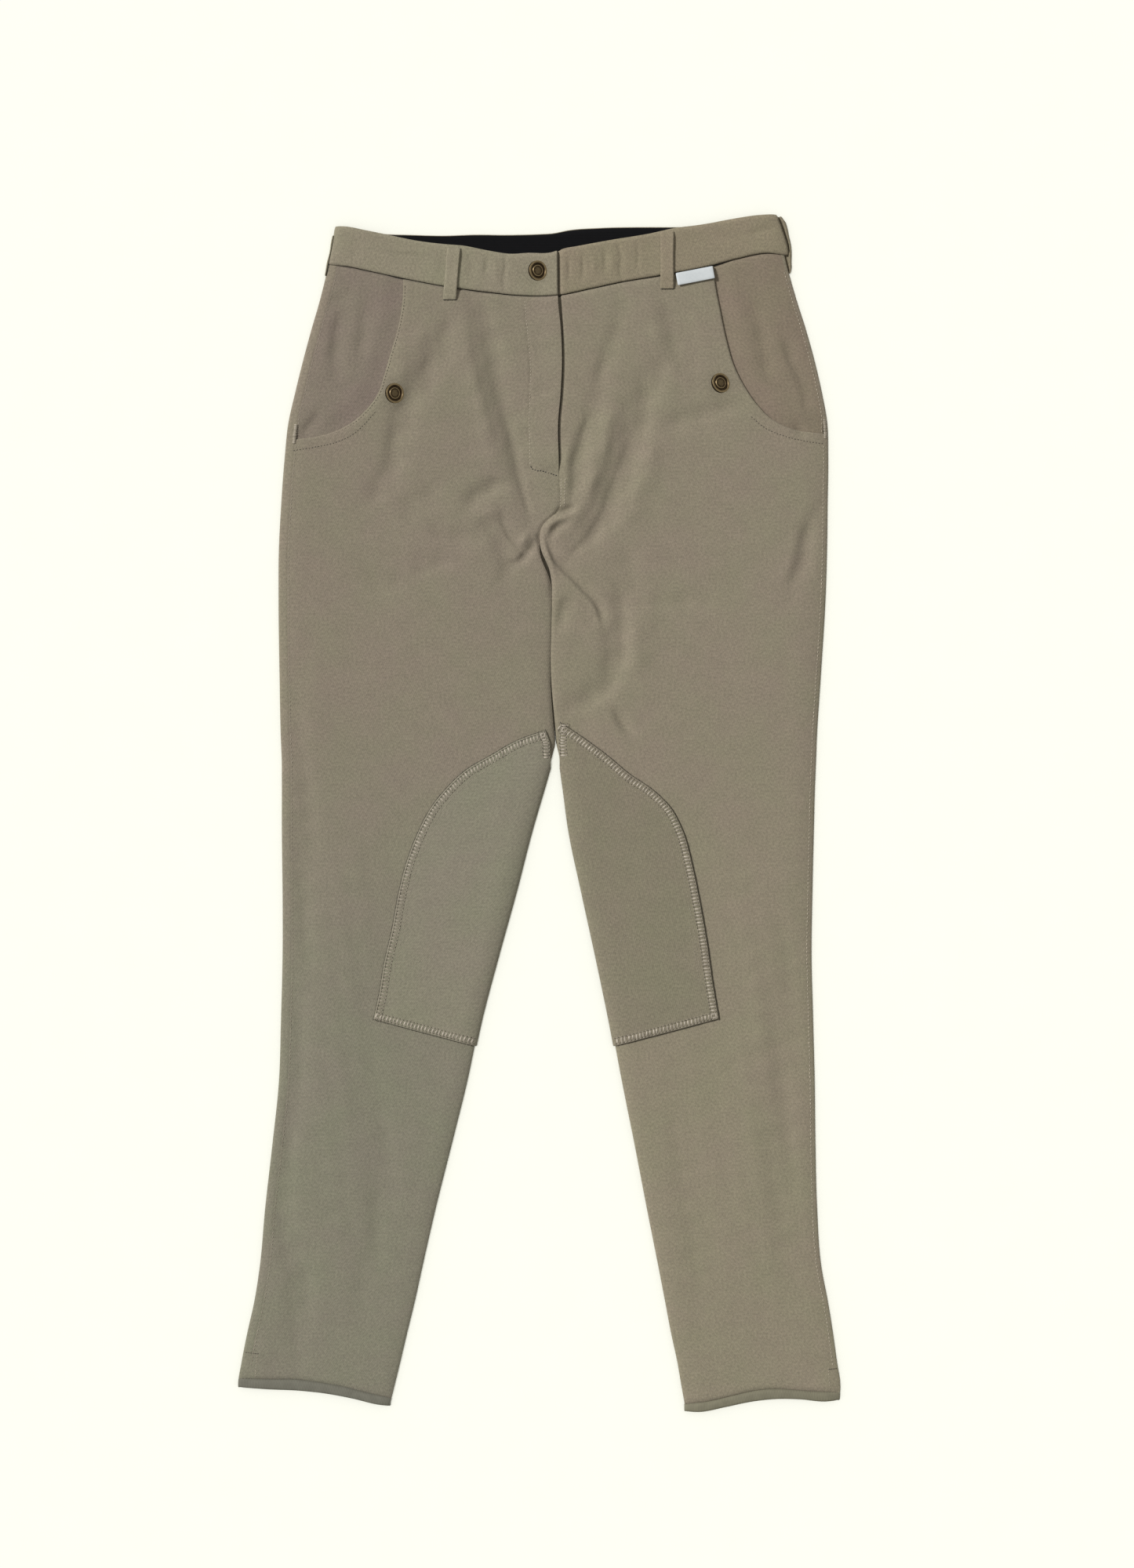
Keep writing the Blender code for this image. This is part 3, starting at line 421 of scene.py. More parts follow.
def fold_depth(x, down, folds=FRONT_FOLDS):
    """How deep the cloth lies under its smooth form at each place, in millimetres."""
    total = np.zeros(np.shape(x))
    for depth, left, right, places in folds:
        line_x, line_down, way_x, way_down = fold_line(places)
        reach = 3.0 * max(left, right)
        near = ((x > line_x.min() - reach) & (x < line_x.max() + reach)
                & (down > line_down.min() - reach) & (down < line_down.max() + reach))
        if not near.any():
            continue
        dx = x[near][:, None] - line_x[None, :]
        dd = down[near][:, None] - line_down[None, :]
        away = np.hypot(dx, dd)
        i = away.argmin(axis=1)
        row = np.arange(len(i))
        turn = way_x[i] * dd[row, i] - way_down[i] * dx[row, i]
        # The plan's down axis points away from +Y, so a positive turn lies to the line's right when
        # it runs down: that is the viewer's left.
        width = np.where(turn > 0, left, right)
        taper = np.sin(math.pi * np.linspace(0.03, 0.97, 48)[i]) ** 0.7
        waver = 1 + 0.3 * np.sin(x[near] / 4.7 + down[near] / 9.1 + 2 * depth) * np.sin(
            down[near] / 6.3 - x[near] / 8.9)
        total[near] += depth * taper * waver * np.exp(-(away[row, i] / width) ** 2)
    return total


probe = fold_depth(np.array([5.0]), np.array([285.0]))
print("depth of the crease at the crotch:", round(float(probe[0]), 2), "mm")

# %% [markdown]
# ## The height of the cloth
#
# The breeches are two flattened tubes. Seen in section, each leg is a low cushion: nearly level on
# top and rolled like a quarter of an ellipse at its edges. One function gives the top surface for
# any place, and a depth under it gives the inside of the wall or a layer below. Everything that is
# sewn on, such as a patch or a stitch, asks the same function, so that it follows every fold.

# %% Rolled edges and unevenness
def quarter(distance, width):
    """Cosine and sine of the angle that a distance from the edge has on a rolled edge."""
    cosine = 1 - np.clip(distance / width, 0.0, 1.0)
    return cosine, np.sqrt(np.maximum(1 - cosine * cosine, 0.0))


def unevenness(x, down):
    """The slight unrest of cloth that was smoothed by hand, a few tenths of a millimetre."""
    slow = np.sin(x / 31.0 + down / 83.0) * np.sin(down / 57.0 - x / 71.0 + 1.3)
    middle = np.sin(x / 13.0 - down / 41.0 + 2.1) * np.sin(down / 23.0 + x / 37.0)
    quick = np.sin(x / 6.1 + down / 19.0) * np.sin(down / 9.7 - x / 15.0 + 0.4)
    return 0.28 * slow + 0.10 * middle + 0.035 * quick


print("roll of the side edge starts at", SIDE_ROLL, "mm from the edge")

# %% Seams press into the cloth
def seam_ditch(leg, x, down):
    """How far the cloth is drawn down beside its seams."""
    at_waist = 2.3 * np.exp(-((down - waist(x)) / 1.5) ** 2)
    at_hem = 1.2 * np.exp(-((leg.hem(x) - down) / 1.2) ** 2)
    from_centre = np.maximum((x - leg.inner(down)) * leg.sign, 0)
    below_fly = soft_step((down - FLY_END - 1) / 6)
    bunched = soft_step((down - 238) / 10) * (1 - soft_step((down - 300) / 18))
    bunched = bunched * (0.3 + 0.7 * soft_step((down - 256) / 10))
    between_legs = soft_step((down - 340) / 60) * (1 - soft_step((down - 425) / 20))
    at_centre = (0.4 * np.exp(-(from_centre / 1.5) ** 2) * below_fly * (1 - bunched)
                 + 1.7 * np.exp(-(from_centre / 2.0) ** 2) * bunched
                 + 0.7 * np.exp(-(from_centre / 2.0) ** 2) * between_legs)
    return at_waist + at_hem + at_centre


WAIST_GAP = 0.5
FLAP_LIFT = 1.7
FLAP_OVER = 0.5
FLAP_OPEN = 1.5


def seam_opening(leg, down):
    """How far each front's edge stands back from the seam, where the cloth gapes a little."""
    crotch = np.exp(-((down - 285) / 11.0) ** 2) * (2.4 if leg is RIGHT else 0.9)
    legs = 0.55 * soft_step((down - 350) / 75)
    return crotch + legs * (1 - soft_step((down - 431) / 12))


def fly_share(down):
    """1 beside the open part of the fly, and 0 from its end down."""
    return 1 - soft_step((down - 196) / 18)


def fly_lift(leg, x, down):
    """The right front lies over the left one at the fly; the left one dips under it."""
    from_centre = (x - leg.inner(down)) * leg.sign
    if leg is RIGHT:
        return FLAP_LIFT * fly_share(down) * soft_step(1 - from_centre / 24)
    return -1.2 * fly_share(down) * np.exp(-(np.maximum(from_centre, 0) / 3.0) ** 2)


print("the flap is lifted by", FLAP_LIFT, "mm at its edge")

# %% The surfaces
def pressed_down(depth):
    """Folds as deep as the cushion allows: a trough stops before it meets the back."""
    depth = 1.35 * depth
    return np.where(depth > 0, 3.3 * np.tanh(depth / 3.3), depth)


def top_surface(leg, x, down, depth=0.0):
    """The front's surface at each place, or a layer that lies that deep under it."""
    side_cos, side_sin = quarter((leg.side(down) - x) * leg.sign, SIDE_ROLL)
    inner_cos, inner_sin = quarter((x - leg.inner(down)) * leg.sign, INNER_ROLL)
    share = np.interp(down, ROLL_SHARE.down, ROLL_SHARE.inner)
    rise = side_sin * (1 - share * (1 - inner_sin))
    relief = unevenness(x, down) - pressed_down(fold_depth(x, down))
    z = (EDGE + (loft(down) - EDGE - depth) * rise + relief * rise ** 3 + fly_lift(leg, x, down)
         - seam_ditch(leg, x, down) * side_sin * (0.35 + 0.65 * rise))
    return world(x + leg.sign * depth * (share * inner_cos - side_cos), down, z)


BACK_FOLDS = (
    (0.7, 9.0, 14.0, ((-150, 150), (-120, 210), (-70, 270), (-20, 320))),
    (0.7, 12.0, 8.0, ((170, 140), (140, 200), (90, 260), (40, 330))),
    (0.6, 6.0, 9.0, ((-60, 330), (-30, 360), (-5, 400))),
    (0.6, 8.0, 6.0, ((80, 340), (50, 370), (28, 410))),
    (0.6, 8.0, 12.0, ((-160, 560), (-150, 640), (-155, 700))),
    (0.6, 12.0, 9.0, ((150, 540), (160, 620), (158, 720))),
    (0.5, 7.0, 7.0, ((-190, 700), (-175, 760), (-180, 860))),
    (0.5, 7.0, 9.0, ((190, 720), (178, 800), (186, 880))),
)


def under_surface(leg, x, down, depth=0.0, inner_height=EDGE - SEAM):
    """The back's surface at each place, or a layer that lies that high over it."""
    side_cos, side_sin = quarter((leg.side(down) - x) * leg.sign, UNDER_ROLL)
    inner_cos, inner_sin = quarter((x - leg.back_inner(down)) * leg.sign, UNDER_ROLL)
    share = np.interp(down, ROLL_SHARE.down, ROLL_SHARE.under)
    away = np.minimum((leg.side(down) - x) * leg.sign, (x - leg.back_inner(down)) * leg.sign)
    z = depth + (EDGE - depth) * (1 - side_sin) + share * (inner_height - depth) * (1 - inner_sin)
    z = z + fold_depth(x, down, BACK_FOLDS) * soft_step((away - UNDER_ROLL) / 12)
    return world(x + leg.sign * depth * (share * inner_cos - side_cos), down, z)


where = top_surface(LEFT, np.array([120.0]), np.array([500.0]))[0]
print("top of the left thigh:", [round(float(v), 4) for v in where])

# %% [markdown]
# ## Levels across a leg
#
# The waist seam and the hem are both curved, so a straight row of mesh would cut across them. Each
# row follows a level between the two instead, 0 at the waist seam and 1 at the hem. Down to the
# pocket mouth's end the rows fan out from the centre front, and below it they run level.

# %% Levels
def at_level(leg, level, edge, distance):
    """The places on a level that lie a distance in from the leg's side or inner edge."""
    toward = -leg.sign if edge is leg.side else leg.sign
    down = waist(0.0) * (1 - level) + leg.hem(0.0) * level
    x = edge(down) + toward * distance
    for _ in range(9):
        down = waist(x) * (1 - level) + leg.hem(x) * level
        x = edge(down) + toward * distance
    return x, down


def mouth_end_level(leg):
    x, down = leg.mouth(1.0)
    return float((down - waist(x)) / (leg.hem(x) - waist(x)))


def leg_rows(leg, mouth_rows, blend_rows, level_rows):
    """Level at the side and at the inner edge for each row, and its share of the pocket mouth."""
    mouth_end = mouth_end_level(leg)
    t = np.concatenate(([0.0, 0.002, 0.005, 0.009], steps(mouth_rows)[1:-1]))
    fan = np.stack((mouth_end * t, MOUTH_INNER_LEVEL * t, t))
    t = steps(blend_rows)[:-1]
    blend = np.stack((mouth_end + (LEVEL_ROWS_START - mouth_end) * t,
                      MOUTH_INNER_LEVEL + (LEVEL_ROWS_START - MOUTH_INNER_LEVEL) * t,
                      np.full(len(t), -1.0)))
    level = LEVEL_ROWS_START + (1 - LEVEL_ROWS_START) * np.concatenate((steps(level_rows)[:-1],
                                                                       [0.998, 0.9992, 1.0]))
    even = np.stack((level, level, np.full(len(level), -1.0)))
    return np.concatenate((fan, blend, even), axis=1)


rows = leg_rows(RIGHT, 76, 84, 172)
print("rows of mesh from waist to hem:", rows.shape[1])

# %% [markdown]
# ## Sheets with a wall
#
# A panel of twill is about a millimetre thick, and its cut edge is soft. Solidify would give the
# wall, but the layers here are closer together than a millimetre, so both sides of each sheet are
# placed by the surface function. They are joined round the rim through a middle line that stands
# out a little, which rounds the edge.

# %% From grids to a closed mesh
def mesh_of(name, points, faces, uvs):
    """A mesh from points in metres and faces, with a UV map in metres of cloth."""
    mesh = bpy.data.meshes.new(name)
    mesh.from_pydata(points.tolist(), [], faces.tolist() if hasattr(faces, "tolist") else faces)
    layer = mesh.uv_layers.new(name="cloth")
    loops = np.empty(len(mesh.loops), dtype=np.int32)
    mesh.loops.foreach_get("vertex_index", loops)
    layer.data.foreach_set("uv", uvs[loops].astype(np.float32).ravel())
    mesh.validate()
    return mesh


def rim_loops(rows, columns, closed):
    """Indices of the rim's points, all the way round, or of the two ends of a ring."""
    index = np.arange(rows * columns).reshape(rows, columns)
    if closed:
        return [list(index[0]), list(index[-1])[::-1]]
    around = list(index[0, :]) + list(index[1:, -1]) + list(index[-1, -2::-1]) + list(index[-2:0:-1, 0])
    return [around]


def sheet_mesh(name, outer, inner, uv, closed=False, swell=0.35):
    """A closed wall between two grids of points, with a rounded rim."""
    rows, columns = outer.shape[:2]
    count = rows * columns
    outer_points = outer.reshape(-1, 3)
    inner_points = inner.reshape(-1, 3)
    index = np.arange(count).reshape(rows, columns)
    spans = columns if closed else columns - 1
    here = index[:-1, :spans]
    beside = np.roll(index, -1, axis=1)[:-1, :spans]
    below = index[1:, :spans]
    below_beside = np.roll(index, -1, axis=1)[1:, :spans]
    quads = np.stack((here, below, below_beside, beside), axis=-1).reshape(-1, 4)
    faces = [tuple(q) for q in quads.tolist()]
    faces += [tuple(reversed(q)) for q in (quads + count).tolist()]
    points = [outer_points, inner_points]
    uvs = [uv.reshape(-1, 2), uv.reshape(-1, 2)]
    start = 2 * count
    for loop in rim_loops(rows, columns, closed):
        loop = np.array(loop)
        middle = (outer_points[loop] + inner_points[loop]) / 2
        # The rim stands out by a share of the wall, away from the sheet's own middle line.
        along = np.roll(middle, -1, axis=0) - np.roll(middle, 1, axis=0)
        wall = outer_points[loop] - inner_points[loop]
        out = np.cross(wall, along)
        out /= np.maximum(np.linalg.norm(out, axis=1, keepdims=True), 1e-12)
        row, column = loop // columns, loop % columns
        within = index[np.clip(row, 1, rows - 2) if rows > 2 else row,
                       column if closed or columns < 3 else np.clip(column, 1, columns - 2)]
        side = np.sign(np.sum(out * (middle - outer_points[within]), axis=1))
        side[side == 0] = 1
        thick = np.linalg.norm(wall, axis=1, keepdims=True)
        points.append(middle + out * side[:, None] * thick * swell)
        uvs.append(uv.reshape(-1, 2)[loop])
        size = len(loop)
        k = np.arange(size)
        n = (k + 1) % size
        mid = start + k
        mid_next = start + n
        faces += [tuple(q) for q in np.stack((loop[k], loop[n], mid_next, mid), axis=-1).tolist()]
        faces += [tuple(q) for q in np.stack((mid, mid_next, loop[n] + count, loop[k] + count),
                                             axis=-1).tolist()]
        start += size
    return mesh_of(name, np.concatenate(points), faces, np.concatenate(uvs))


print("sheets get a wall of", CLOTH, "mm")

# %% [markdown]
# ## Making a sheet a piece
#
# Each sheet takes the place of the CAD node that it dresses.

# %% A sheet as a piece
PIECES = {}
FINISH = {}


def own(name, mesh, finish):
    """A new object for a mesh, smooth and facing outward."""
    shape = bmesh.new()
    shape.from_mesh(mesh)
    bmesh.ops.recalc_face_normals(shape, faces=shape.faces)
    shape.to_mesh(mesh)
    shape.free()
    mesh.shade_smooth()
    mesh.set_sharp_from_angle(angle=math.radians(60))
    piece = bpy.data.objects.new(name, mesh)
    bpy.context.scene.collection.objects.link(piece)
    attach(piece, "root")
    PIECES[name] = piece
    FINISH[name] = finish
    return piece


def cloth_piece(node, outer, inner, uv, slot, closed=False, swell=0.35, finish=None):
    """A sheet that replaces a CAD node."""
    mesh = sheet_mesh("cloth_" + node, outer, inner, uv, closed, swell)
    piece = own("cloth_" + node, mesh, finish or slot)
    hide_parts(node)
    return piece


print("pieces so far:", len(PIECES))

# %% [markdown]
# ## Front and back panels
#
# The front panel runs from the waist seam to the hem, with the curved pocket mouth as its upper
# outer edge. The back panel wraps the side edge and comes up to a seam on top. Both are cut with
# narrow spans near the centre front, where the small creases are, and wide ones on the thigh.

# %% Front panels
def front_places(leg):
    side_level, inner_level, mouth_share = leg_rows(leg, 76, 84, 172)
    x_out, down_out = at_level(leg, side_level, leg.side, leg.seam_in + SEAM / 2)
    on_mouth = mouth_share >= 0
    x_mouth, down_mouth = leg.mouth(np.clip(mouth_share, 0, 1))
    x_out = np.where(on_mouth, x_mouth, x_out)
    down_out = np.where(on_mouth, down_mouth, down_out)
    mouth_level = np.maximum(0, (down_out - waist(x_out)) / (leg.hem(x_out) - waist(x_out)))
    side_level = np.where(on_mouth, np.where(mouth_share == 0, 0.0, mouth_level), side_level)
    width = ((x_out - leg.inner(down_out)) * leg.sign)[:, None]
    roll = SEAM / 2 + INNER_ROLL * (1 - np.cos(np.radians(np.linspace(0, 90, 19))))
    near = np.linspace(roll[-1], 58.0, 39)[1:]
    far = steps(58)[1:]
    distance = np.concatenate((np.broadcast_to(roll, (len(width), len(roll))),
                               np.broadcast_to(near, (len(width), len(near))),
                               near[-1] + (width - near[-1]) * far[None, :]), axis=1)
    level = inner_level[:, None] + (side_level - inner_level)[:, None] * distance / width
    x, down = at_level(leg, level, leg.inner, distance)
    down = np.maximum(down, waist(x) + WAIST_GAP)
    return x, np.minimum(down, leg.hem(x) - SEAM), distance


def make_front(leg):
    x, down, distance = front_places(leg)
    edge = np.clip(1 - distance / 10, 0, 1)
    gaping = FLAP_OPEN + 2.0 * np.exp(-((down - 72) / 22) ** 2)
    x = x + edge * fly_share(down) * (FLAP_OVER if leg is RIGHT else gaping)
    x = x + edge * seam_opening(leg, down) * leg.sign
    outer = top_surface(leg, x, down)
    inner = top_surface(leg, x, down, CLOTH)
    from_rim = distance[:, -1:] - distance
    pressed = np.exp(-(from_rim / 2.4) ** 2) * (down < float(leg.mouth(1.0)[1]))
    outer[..., 2] -= pressed * (0.75 if leg is RIGHT else 0.15) * MM
    uv = np.stack(((leg.side(down) - x) * leg.sign, -down), axis=-1) * MM
    return cloth_piece("front_" + leg.name, outer, inner, uv, "twill",
                       finish="twill_" + leg.name)


for leg in LEGS:
    make_front(leg)

# %% Back panels
def under_distances(width, count, flat):
    """Columns of the underside: those on the rolled edges, and the flat ones between them."""
    roll = UNDER_ROLL * (1 - np.cos(np.radians(np.linspace(0, 90, count))))
    flat = np.linspace(0, 1, flat + 2)[1:-1][None, :] * (width - 2 * roll[-1]) + roll[-1]
    rows = len(width)
    return np.concatenate((np.broadcast_to(roll, (rows, count)), flat,
                           width - np.broadcast_to(roll[::-1], (rows, count))), axis=1)


def make_back(leg):
    side_level, inner_level, _ = leg_rows(leg, 40, 30, 130)
    x_edge, down_edge = at_level(leg, side_level, leg.side, 0.0)
    width = ((x_edge - leg.back_inner(down_edge)) * leg.sign)[:, None]
    under = under_distances(width, 6, 34)
    under[:, :6] += SEAM / 2
    level = inner_level[:, None] + (side_level - inner_level)[:, None] * under / width
    x, down = at_level(leg, level, leg.back_inner, under)
    down = np.minimum(down, leg.hem(x) - SEAM)
    over = (leg.seam_in - SEAM / 2) * np.array([0.12, 0.3, 0.55, 0.8, 1.0])
    x_over, down_over = at_level(leg, side_level[:, None], leg.side, over[None, :])
    down_over = np.minimum(down_over, leg.hem(x_over) - SEAM)
    sheets = []
    for depth in (0.0, CLOTH):
        sheets.append(np.concatenate((under_surface(leg, x, down, depth),
                                      top_surface(leg, x_over, down_over, depth)), axis=1))
    across = np.concatenate((width - under, -over[None, :] + 0 * x_over), axis=1)
    uv = np.stack((-across - 20, -np.concatenate((down, down_over), axis=1)), axis=-1) * MM
    return cloth_piece("back_" + leg.name, sheets[0], sheets[1], uv, "twill",
                       finish="twill_" + leg.name)


for leg in LEGS:
    make_back(leg)

# %% [markdown]
# ## Pocket insets
#
# The hip pockets open along the curved mouth. What shows inside the curve is the pocket facing, cut
# from the reverse of the same twill, which looks more taupe. It lies under the panel at the mouth
# and comes up to the panel's level toward the side seam.

# %% Depth of the inset under the panel
def mouth_points(leg):
    """The mouth as places, each with the direction that points under the front panel."""
    s = np.linspace(0, 1, 120)
    x, down = leg.mouth(s)
    x1, down1 = leg.mouth(np.maximum(s - 0.01, 0))
    x2, down2 = leg.mouth(np.minimum(s + 0.01, 1))
    length = np.hypot(x2 - x1, down2 - down1)
    return np.stack((x, down, -leg.sign * (down2 - down1) / length, leg.sign * (x2 - x1) / length), axis=-1)


def inset_depth(leg, points, x, down):
    """How deep the inset lies: full under the panel, none at INSET_BLEND from the mouth."""
    dx = x[..., None] - points[:, 0]
    dd = down[..., None] - points[:, 1]
    away = np.hypot(dx, dd)
    i = away.argmin(axis=-1)
    nearest = away.min(axis=-1)
    hidden = (np.take_along_axis(dx, i[..., None], -1)[..., 0] * points[i, 2]
              + np.take_along_axis(dd, i[..., None], -1)[..., 0] * points[i, 3]) > 0
    t = np.where(hidden, 1.0, np.clip(1 - nearest / INSET_BLEND, 0, 1))
    return INSET_DEPTH[leg.name] * t * t * (3 - 2 * t)


print("the insets lie", INSET_DEPTH, "mm under the mouths")

# %% Insets
def make_inset(leg):
    points = mouth_points(leg)
    hidden_x = points[:, 0] + INSET_HIDDEN * points[:, 2]
    hidden_down = points[:, 1] + INSET_HIDDEN * points[:, 3]
    mouth_end = mouth_end_level(leg)
    level = np.concatenate(([0.0, 0.0006, 0.0014], np.linspace(0.0025, mouth_end, 64),
                            [mouth_end + 0.004, mouth_end + 0.008]))[:, None]
    x_start, _ = at_level(leg, level, leg.side, leg.seam_in + SEAM / 2)
    share = steps(52)[None, :]
    x = x_start + 0 * share
    for _ in range(9):
        down = waist(x) * (1 - level) + leg.hem(x) * level
        x = x_start * (1 - share) + np.interp(down, hidden_down, hidden_x) * share
    depth = inset_depth(leg, points, x, down)
    uv = np.stack(((leg.side(down) - x) * leg.sign + 300, -down), axis=-1) * MM
    return cloth_piece("pocket_inset_" + leg.name, top_surface(leg, x, down, depth),
                       top_surface(leg, x, down, depth + CLOTH), uv, "twill_inset",
                       finish="inset_" + leg.name)


for leg in LEGS:
    make_inset(leg)

# %% [markdown]
# ## Knee patches
#
# A patch of the same twill is sewn over the inside of each knee, to grip the saddle. It is caught in
# the inseam and held along its outer edge by a wide flat seam. That seam draws the edge in, so the
# patch is a little wavy beside it.

# %% Places on a patch
def patch_place(leg, v, f):
    """A place on the patch: v runs down its outer edge, and f runs from the inseam outward."""
    x_out, down_out = leg.patch(v)
    down_in = PATCH_INSEAM[0] + (PATCH_INSEAM[1] - PATCH_INSEAM[0]) * v
    width = (x_out - leg.inner(down_out)) * leg.sign
    distance = width * f
    down = down_in + (down_out - down_in) * f
    return leg.inner(down) + leg.sign * distance, down, width


def patch_height(leg, v, f, width):
    """Small puckers beside the sewn edges, in millimetres."""
    from_edge = np.minimum(width * (1 - f), 232 * (1 - v))
    ripple = np.sin(v * 210 + f * 9) * 0.6 + np.sin(v * 97 + 1.7 + f * 23) * 0.4
    return 0.16 * ripple * np.exp(-(from_edge / 9) ** 2)


def make_patch(leg):
    v = np.concatenate(([0, 0.003], steps(150)[1:-1], [0.997, 1.0]))[:, None]
    _, _, width = patch_place(leg, v, 1.0)
    roll = np.minimum(INNER_ROLL, width * 0.6)
    bend = (1 - np.cos(np.radians(np.linspace(0, 90, 14))))[None, :]
    flat = np.concatenate((steps(34)[1:-1], [0.992, 1.0]))[None, :]
    f = np.concatenate((roll * bend / width, (roll + (width - roll) * flat) / width), axis=1)
    x, down, width = patch_place(leg, v, f)
    lift = np.zeros(x.shape + (3,))
    lift[..., 2] = patch_height(leg, v, f, width) * MM
    uv = np.stack((x - leg.inner(down) + 500, -down), axis=-1) * MM
    return cloth_piece("knee_patch_" + leg.name, top_surface(leg, x, down, -PATCH_GAP - PATCH) + lift,
                       top_surface(leg, x, down, -PATCH_GAP) + lift, uv, "twill_patch",
                       finish="patch_" + leg.name)


for leg in LEGS:
    make_patch(leg)

# %% [markdown]
# ## Hem bindings
#
# Each leg ends in a narrow stretch binding, folded round the raw edge. It is a flat ring of its own,
# slightly thicker than the twill, and its lower edge is soft.

# %% Hem bands
def make_hem_band(leg):
    width = float(abs(leg.side(leg.hem(leg.side(LENGTH))) - leg.inner(leg.hem(leg.inner(LENGTH)))))
    r = np.array([0.0, 0.06, 0.14, 0.3, 0.5, 0.7, 0.86, 0.95, 1.0])[:, None]

    def place(edge, distance, toward):
        distance = np.asarray(distance)[None, :]
        down = np.full((len(r), distance.shape[1]), leg.hem(edge(LENGTH)))
        for _ in range(9):
            x = edge(down) + toward * distance
            down = (leg.hem(x) + SEAM) * (1 - r) + leg.end(x) * r
        return x, down

    roll = INNER_ROLL * (1 - np.cos(np.radians(np.linspace(0, 90, 10))))
    side_roll = SIDE_ROLL * (1 - np.cos(np.radians(np.linspace(80, 0, 9))))
    middle = roll[-1] + (width - roll[-1] - SIDE_ROLL) * steps(40)[1:]
    over = [place(leg.inner, np.concatenate((roll, middle)), leg.sign),
            place(leg.side, side_roll, -leg.sign)]
    under_roll = UNDER_ROLL * (1 - np.cos(np.radians(np.linspace(0, 90, 6))))
    flat = np.linspace(under_roll[-1], width - under_roll[-1], 42)[1:-1]
    under = [place(leg.side, under_roll[1:], -leg.sign),
             place(leg.inner, np.concatenate((flat[::-1], under_roll[:0:-1])), leg.sign)]
    puff = 0.35 * np.sin(math.pi * r) ** 0.5 - 0.6 * np.maximum(0, (r - 0.86) / 0.14) ** 2
    sheets = []
    for depth in (0.0, HEM_BAND):
        grid = [top_surface(leg, x, down, depth) for x, down in over]
        grid += [under_surface(leg, x, down, depth, EDGE) for x, down in under]
        grid = np.concatenate(grid, axis=1)
        count = over[0][0].shape[1] + over[1][0].shape[1]
        if depth == 0:
            grid[:, :count, 2] += puff * MM
        sheets.append(grid)
    along = np.concatenate(([0], np.cumsum(np.linalg.norm(np.diff(sheets[0][4], axis=0), axis=1))))
    uv = np.stack((np.broadcast_to(along, (len(r), len(along))),
                   np.broadcast_to(-r * 8 * MM, (len(r), len(along)))), axis=-1)
    return cloth_piece("hem_band_" + leg.name, sheets[0], sheets[1], uv, "binding",
                       closed=True, finish="binding_" + leg.name)


for leg in LEGS:
    make_hem_band(leg)

# %% [markdown]
# ## Waistband
#
# The front band is two layers of twill with a stiffener between them. Its ends meet at the fly, where
# the right one lies over the left. Hands and the stiffener leave small upright dents in it. Above it
# shows the inside of the back band, which is faced with black knit.

# %% Dents and puckers of the band
BAND_FOLDS = (
    (0.7, 1.6, 2.6, ((-43.5, 35), (-43.0, 42), (-44.0, 49))),
    (0.8, 1.4, 2.4, ((-28.0, 34), (-27.6, 44), (-29.0, 52), (-28.0, 62))),
    (-0.4, 2.4, 2.4, ((-35.0, 34), (-35.0, 46), (-36.0, 58))),
    (0.5, 1.5, 2.2, ((24.0, 34), (24.5, 44), (24.0, 54))),
    (0.7, 1.8, 2.2, ((35.5, 33), (36.0, 43), (35.0, 54))),
    (-0.4, 2.0, 2.4, ((44.0, 32), (45.0, 42), (44.0, 50))),
    (0.7, 1.8, 2.2, ((53.0, 28), (54.0, 38), (53.0, 48))),
    (-0.4, 2.0, 2.4, ((59.0, 28), (60.0, 38), (60.0, 48))),
    (0.9, 1.6, 2.8, ((64.0, 23), (67.0, 36), (66.0, 46), (69.0, 54))),
    (0.5, 1.6, 2.2, ((80.0, 22), (81.0, 34), (80.0, 46))),
    (0.7, 2.2, 3.0, ((172, 16), (183, 13), (193, 11))),
    (0.45, 2.0, 2.2, ((-131, 30.5), (-116, 32), (-100, 33), (-88, 36))),
    (-0.4, 1.8, 2.0, ((-130, 27.5), (-117, 29), (-104, 30), (-90, 31))),
    (0.4, 2.0, 2.4, ((-120, 35), (-108, 37), (-94, 40))),
    (0.35, 4.0, 5.0, ((120, 22), (140, 19), (160, 18), (182, 14))),
    (0.6, 4.0, 5.0, ((-58, 32), (-55, 42), (-56, 52))),
    (0.4, 5.0, 6.0, ((-150, 20), (-149, 28), (-151, 36))),
    (0.45, 5.0, 6.0, ((90, 22), (88, 32), (90, 42))),
    (0.4, 3.0, 4.0, ((-80, 30), (-79, 42), (-81, 52))),
)


BAND_REACH = table("down out", ((0, 3.4), (7, 3.9), (16, 4.1), (25, 4.1), (32, 3.2), (39, 1.2), (46, 0.0)))
band_reach = curve(BAND_REACH.down, BAND_REACH.out)


def band_side(leg):
    """The band's outer edge: at the left hip it stands out a little over the panel's edge."""
    if leg is RIGHT:
        return leg.side
    return lambda down: leg.side(down) + band_reach(down)


def band_height(leg, x, down):
    """Under and upper height of the front band, which rolls down at the side and at its seam."""
    distance = (band_side(leg)(down) - x) * leg.sign
    _, rise = quarter(distance, BAND_ROLL)
    upper = BAND_EDGE + (BAND_TOP - BAND_EDGE) * rise
    low = BACK_BAND + SEAM + 0.1
    inward = np.clip((distance - BAND_SIDE[0]) / (BAND_SIDE[1] - BAND_SIDE[0]), 0, 1)
    under = low + (BAND_UNDER - low) * inward
    return under, upper


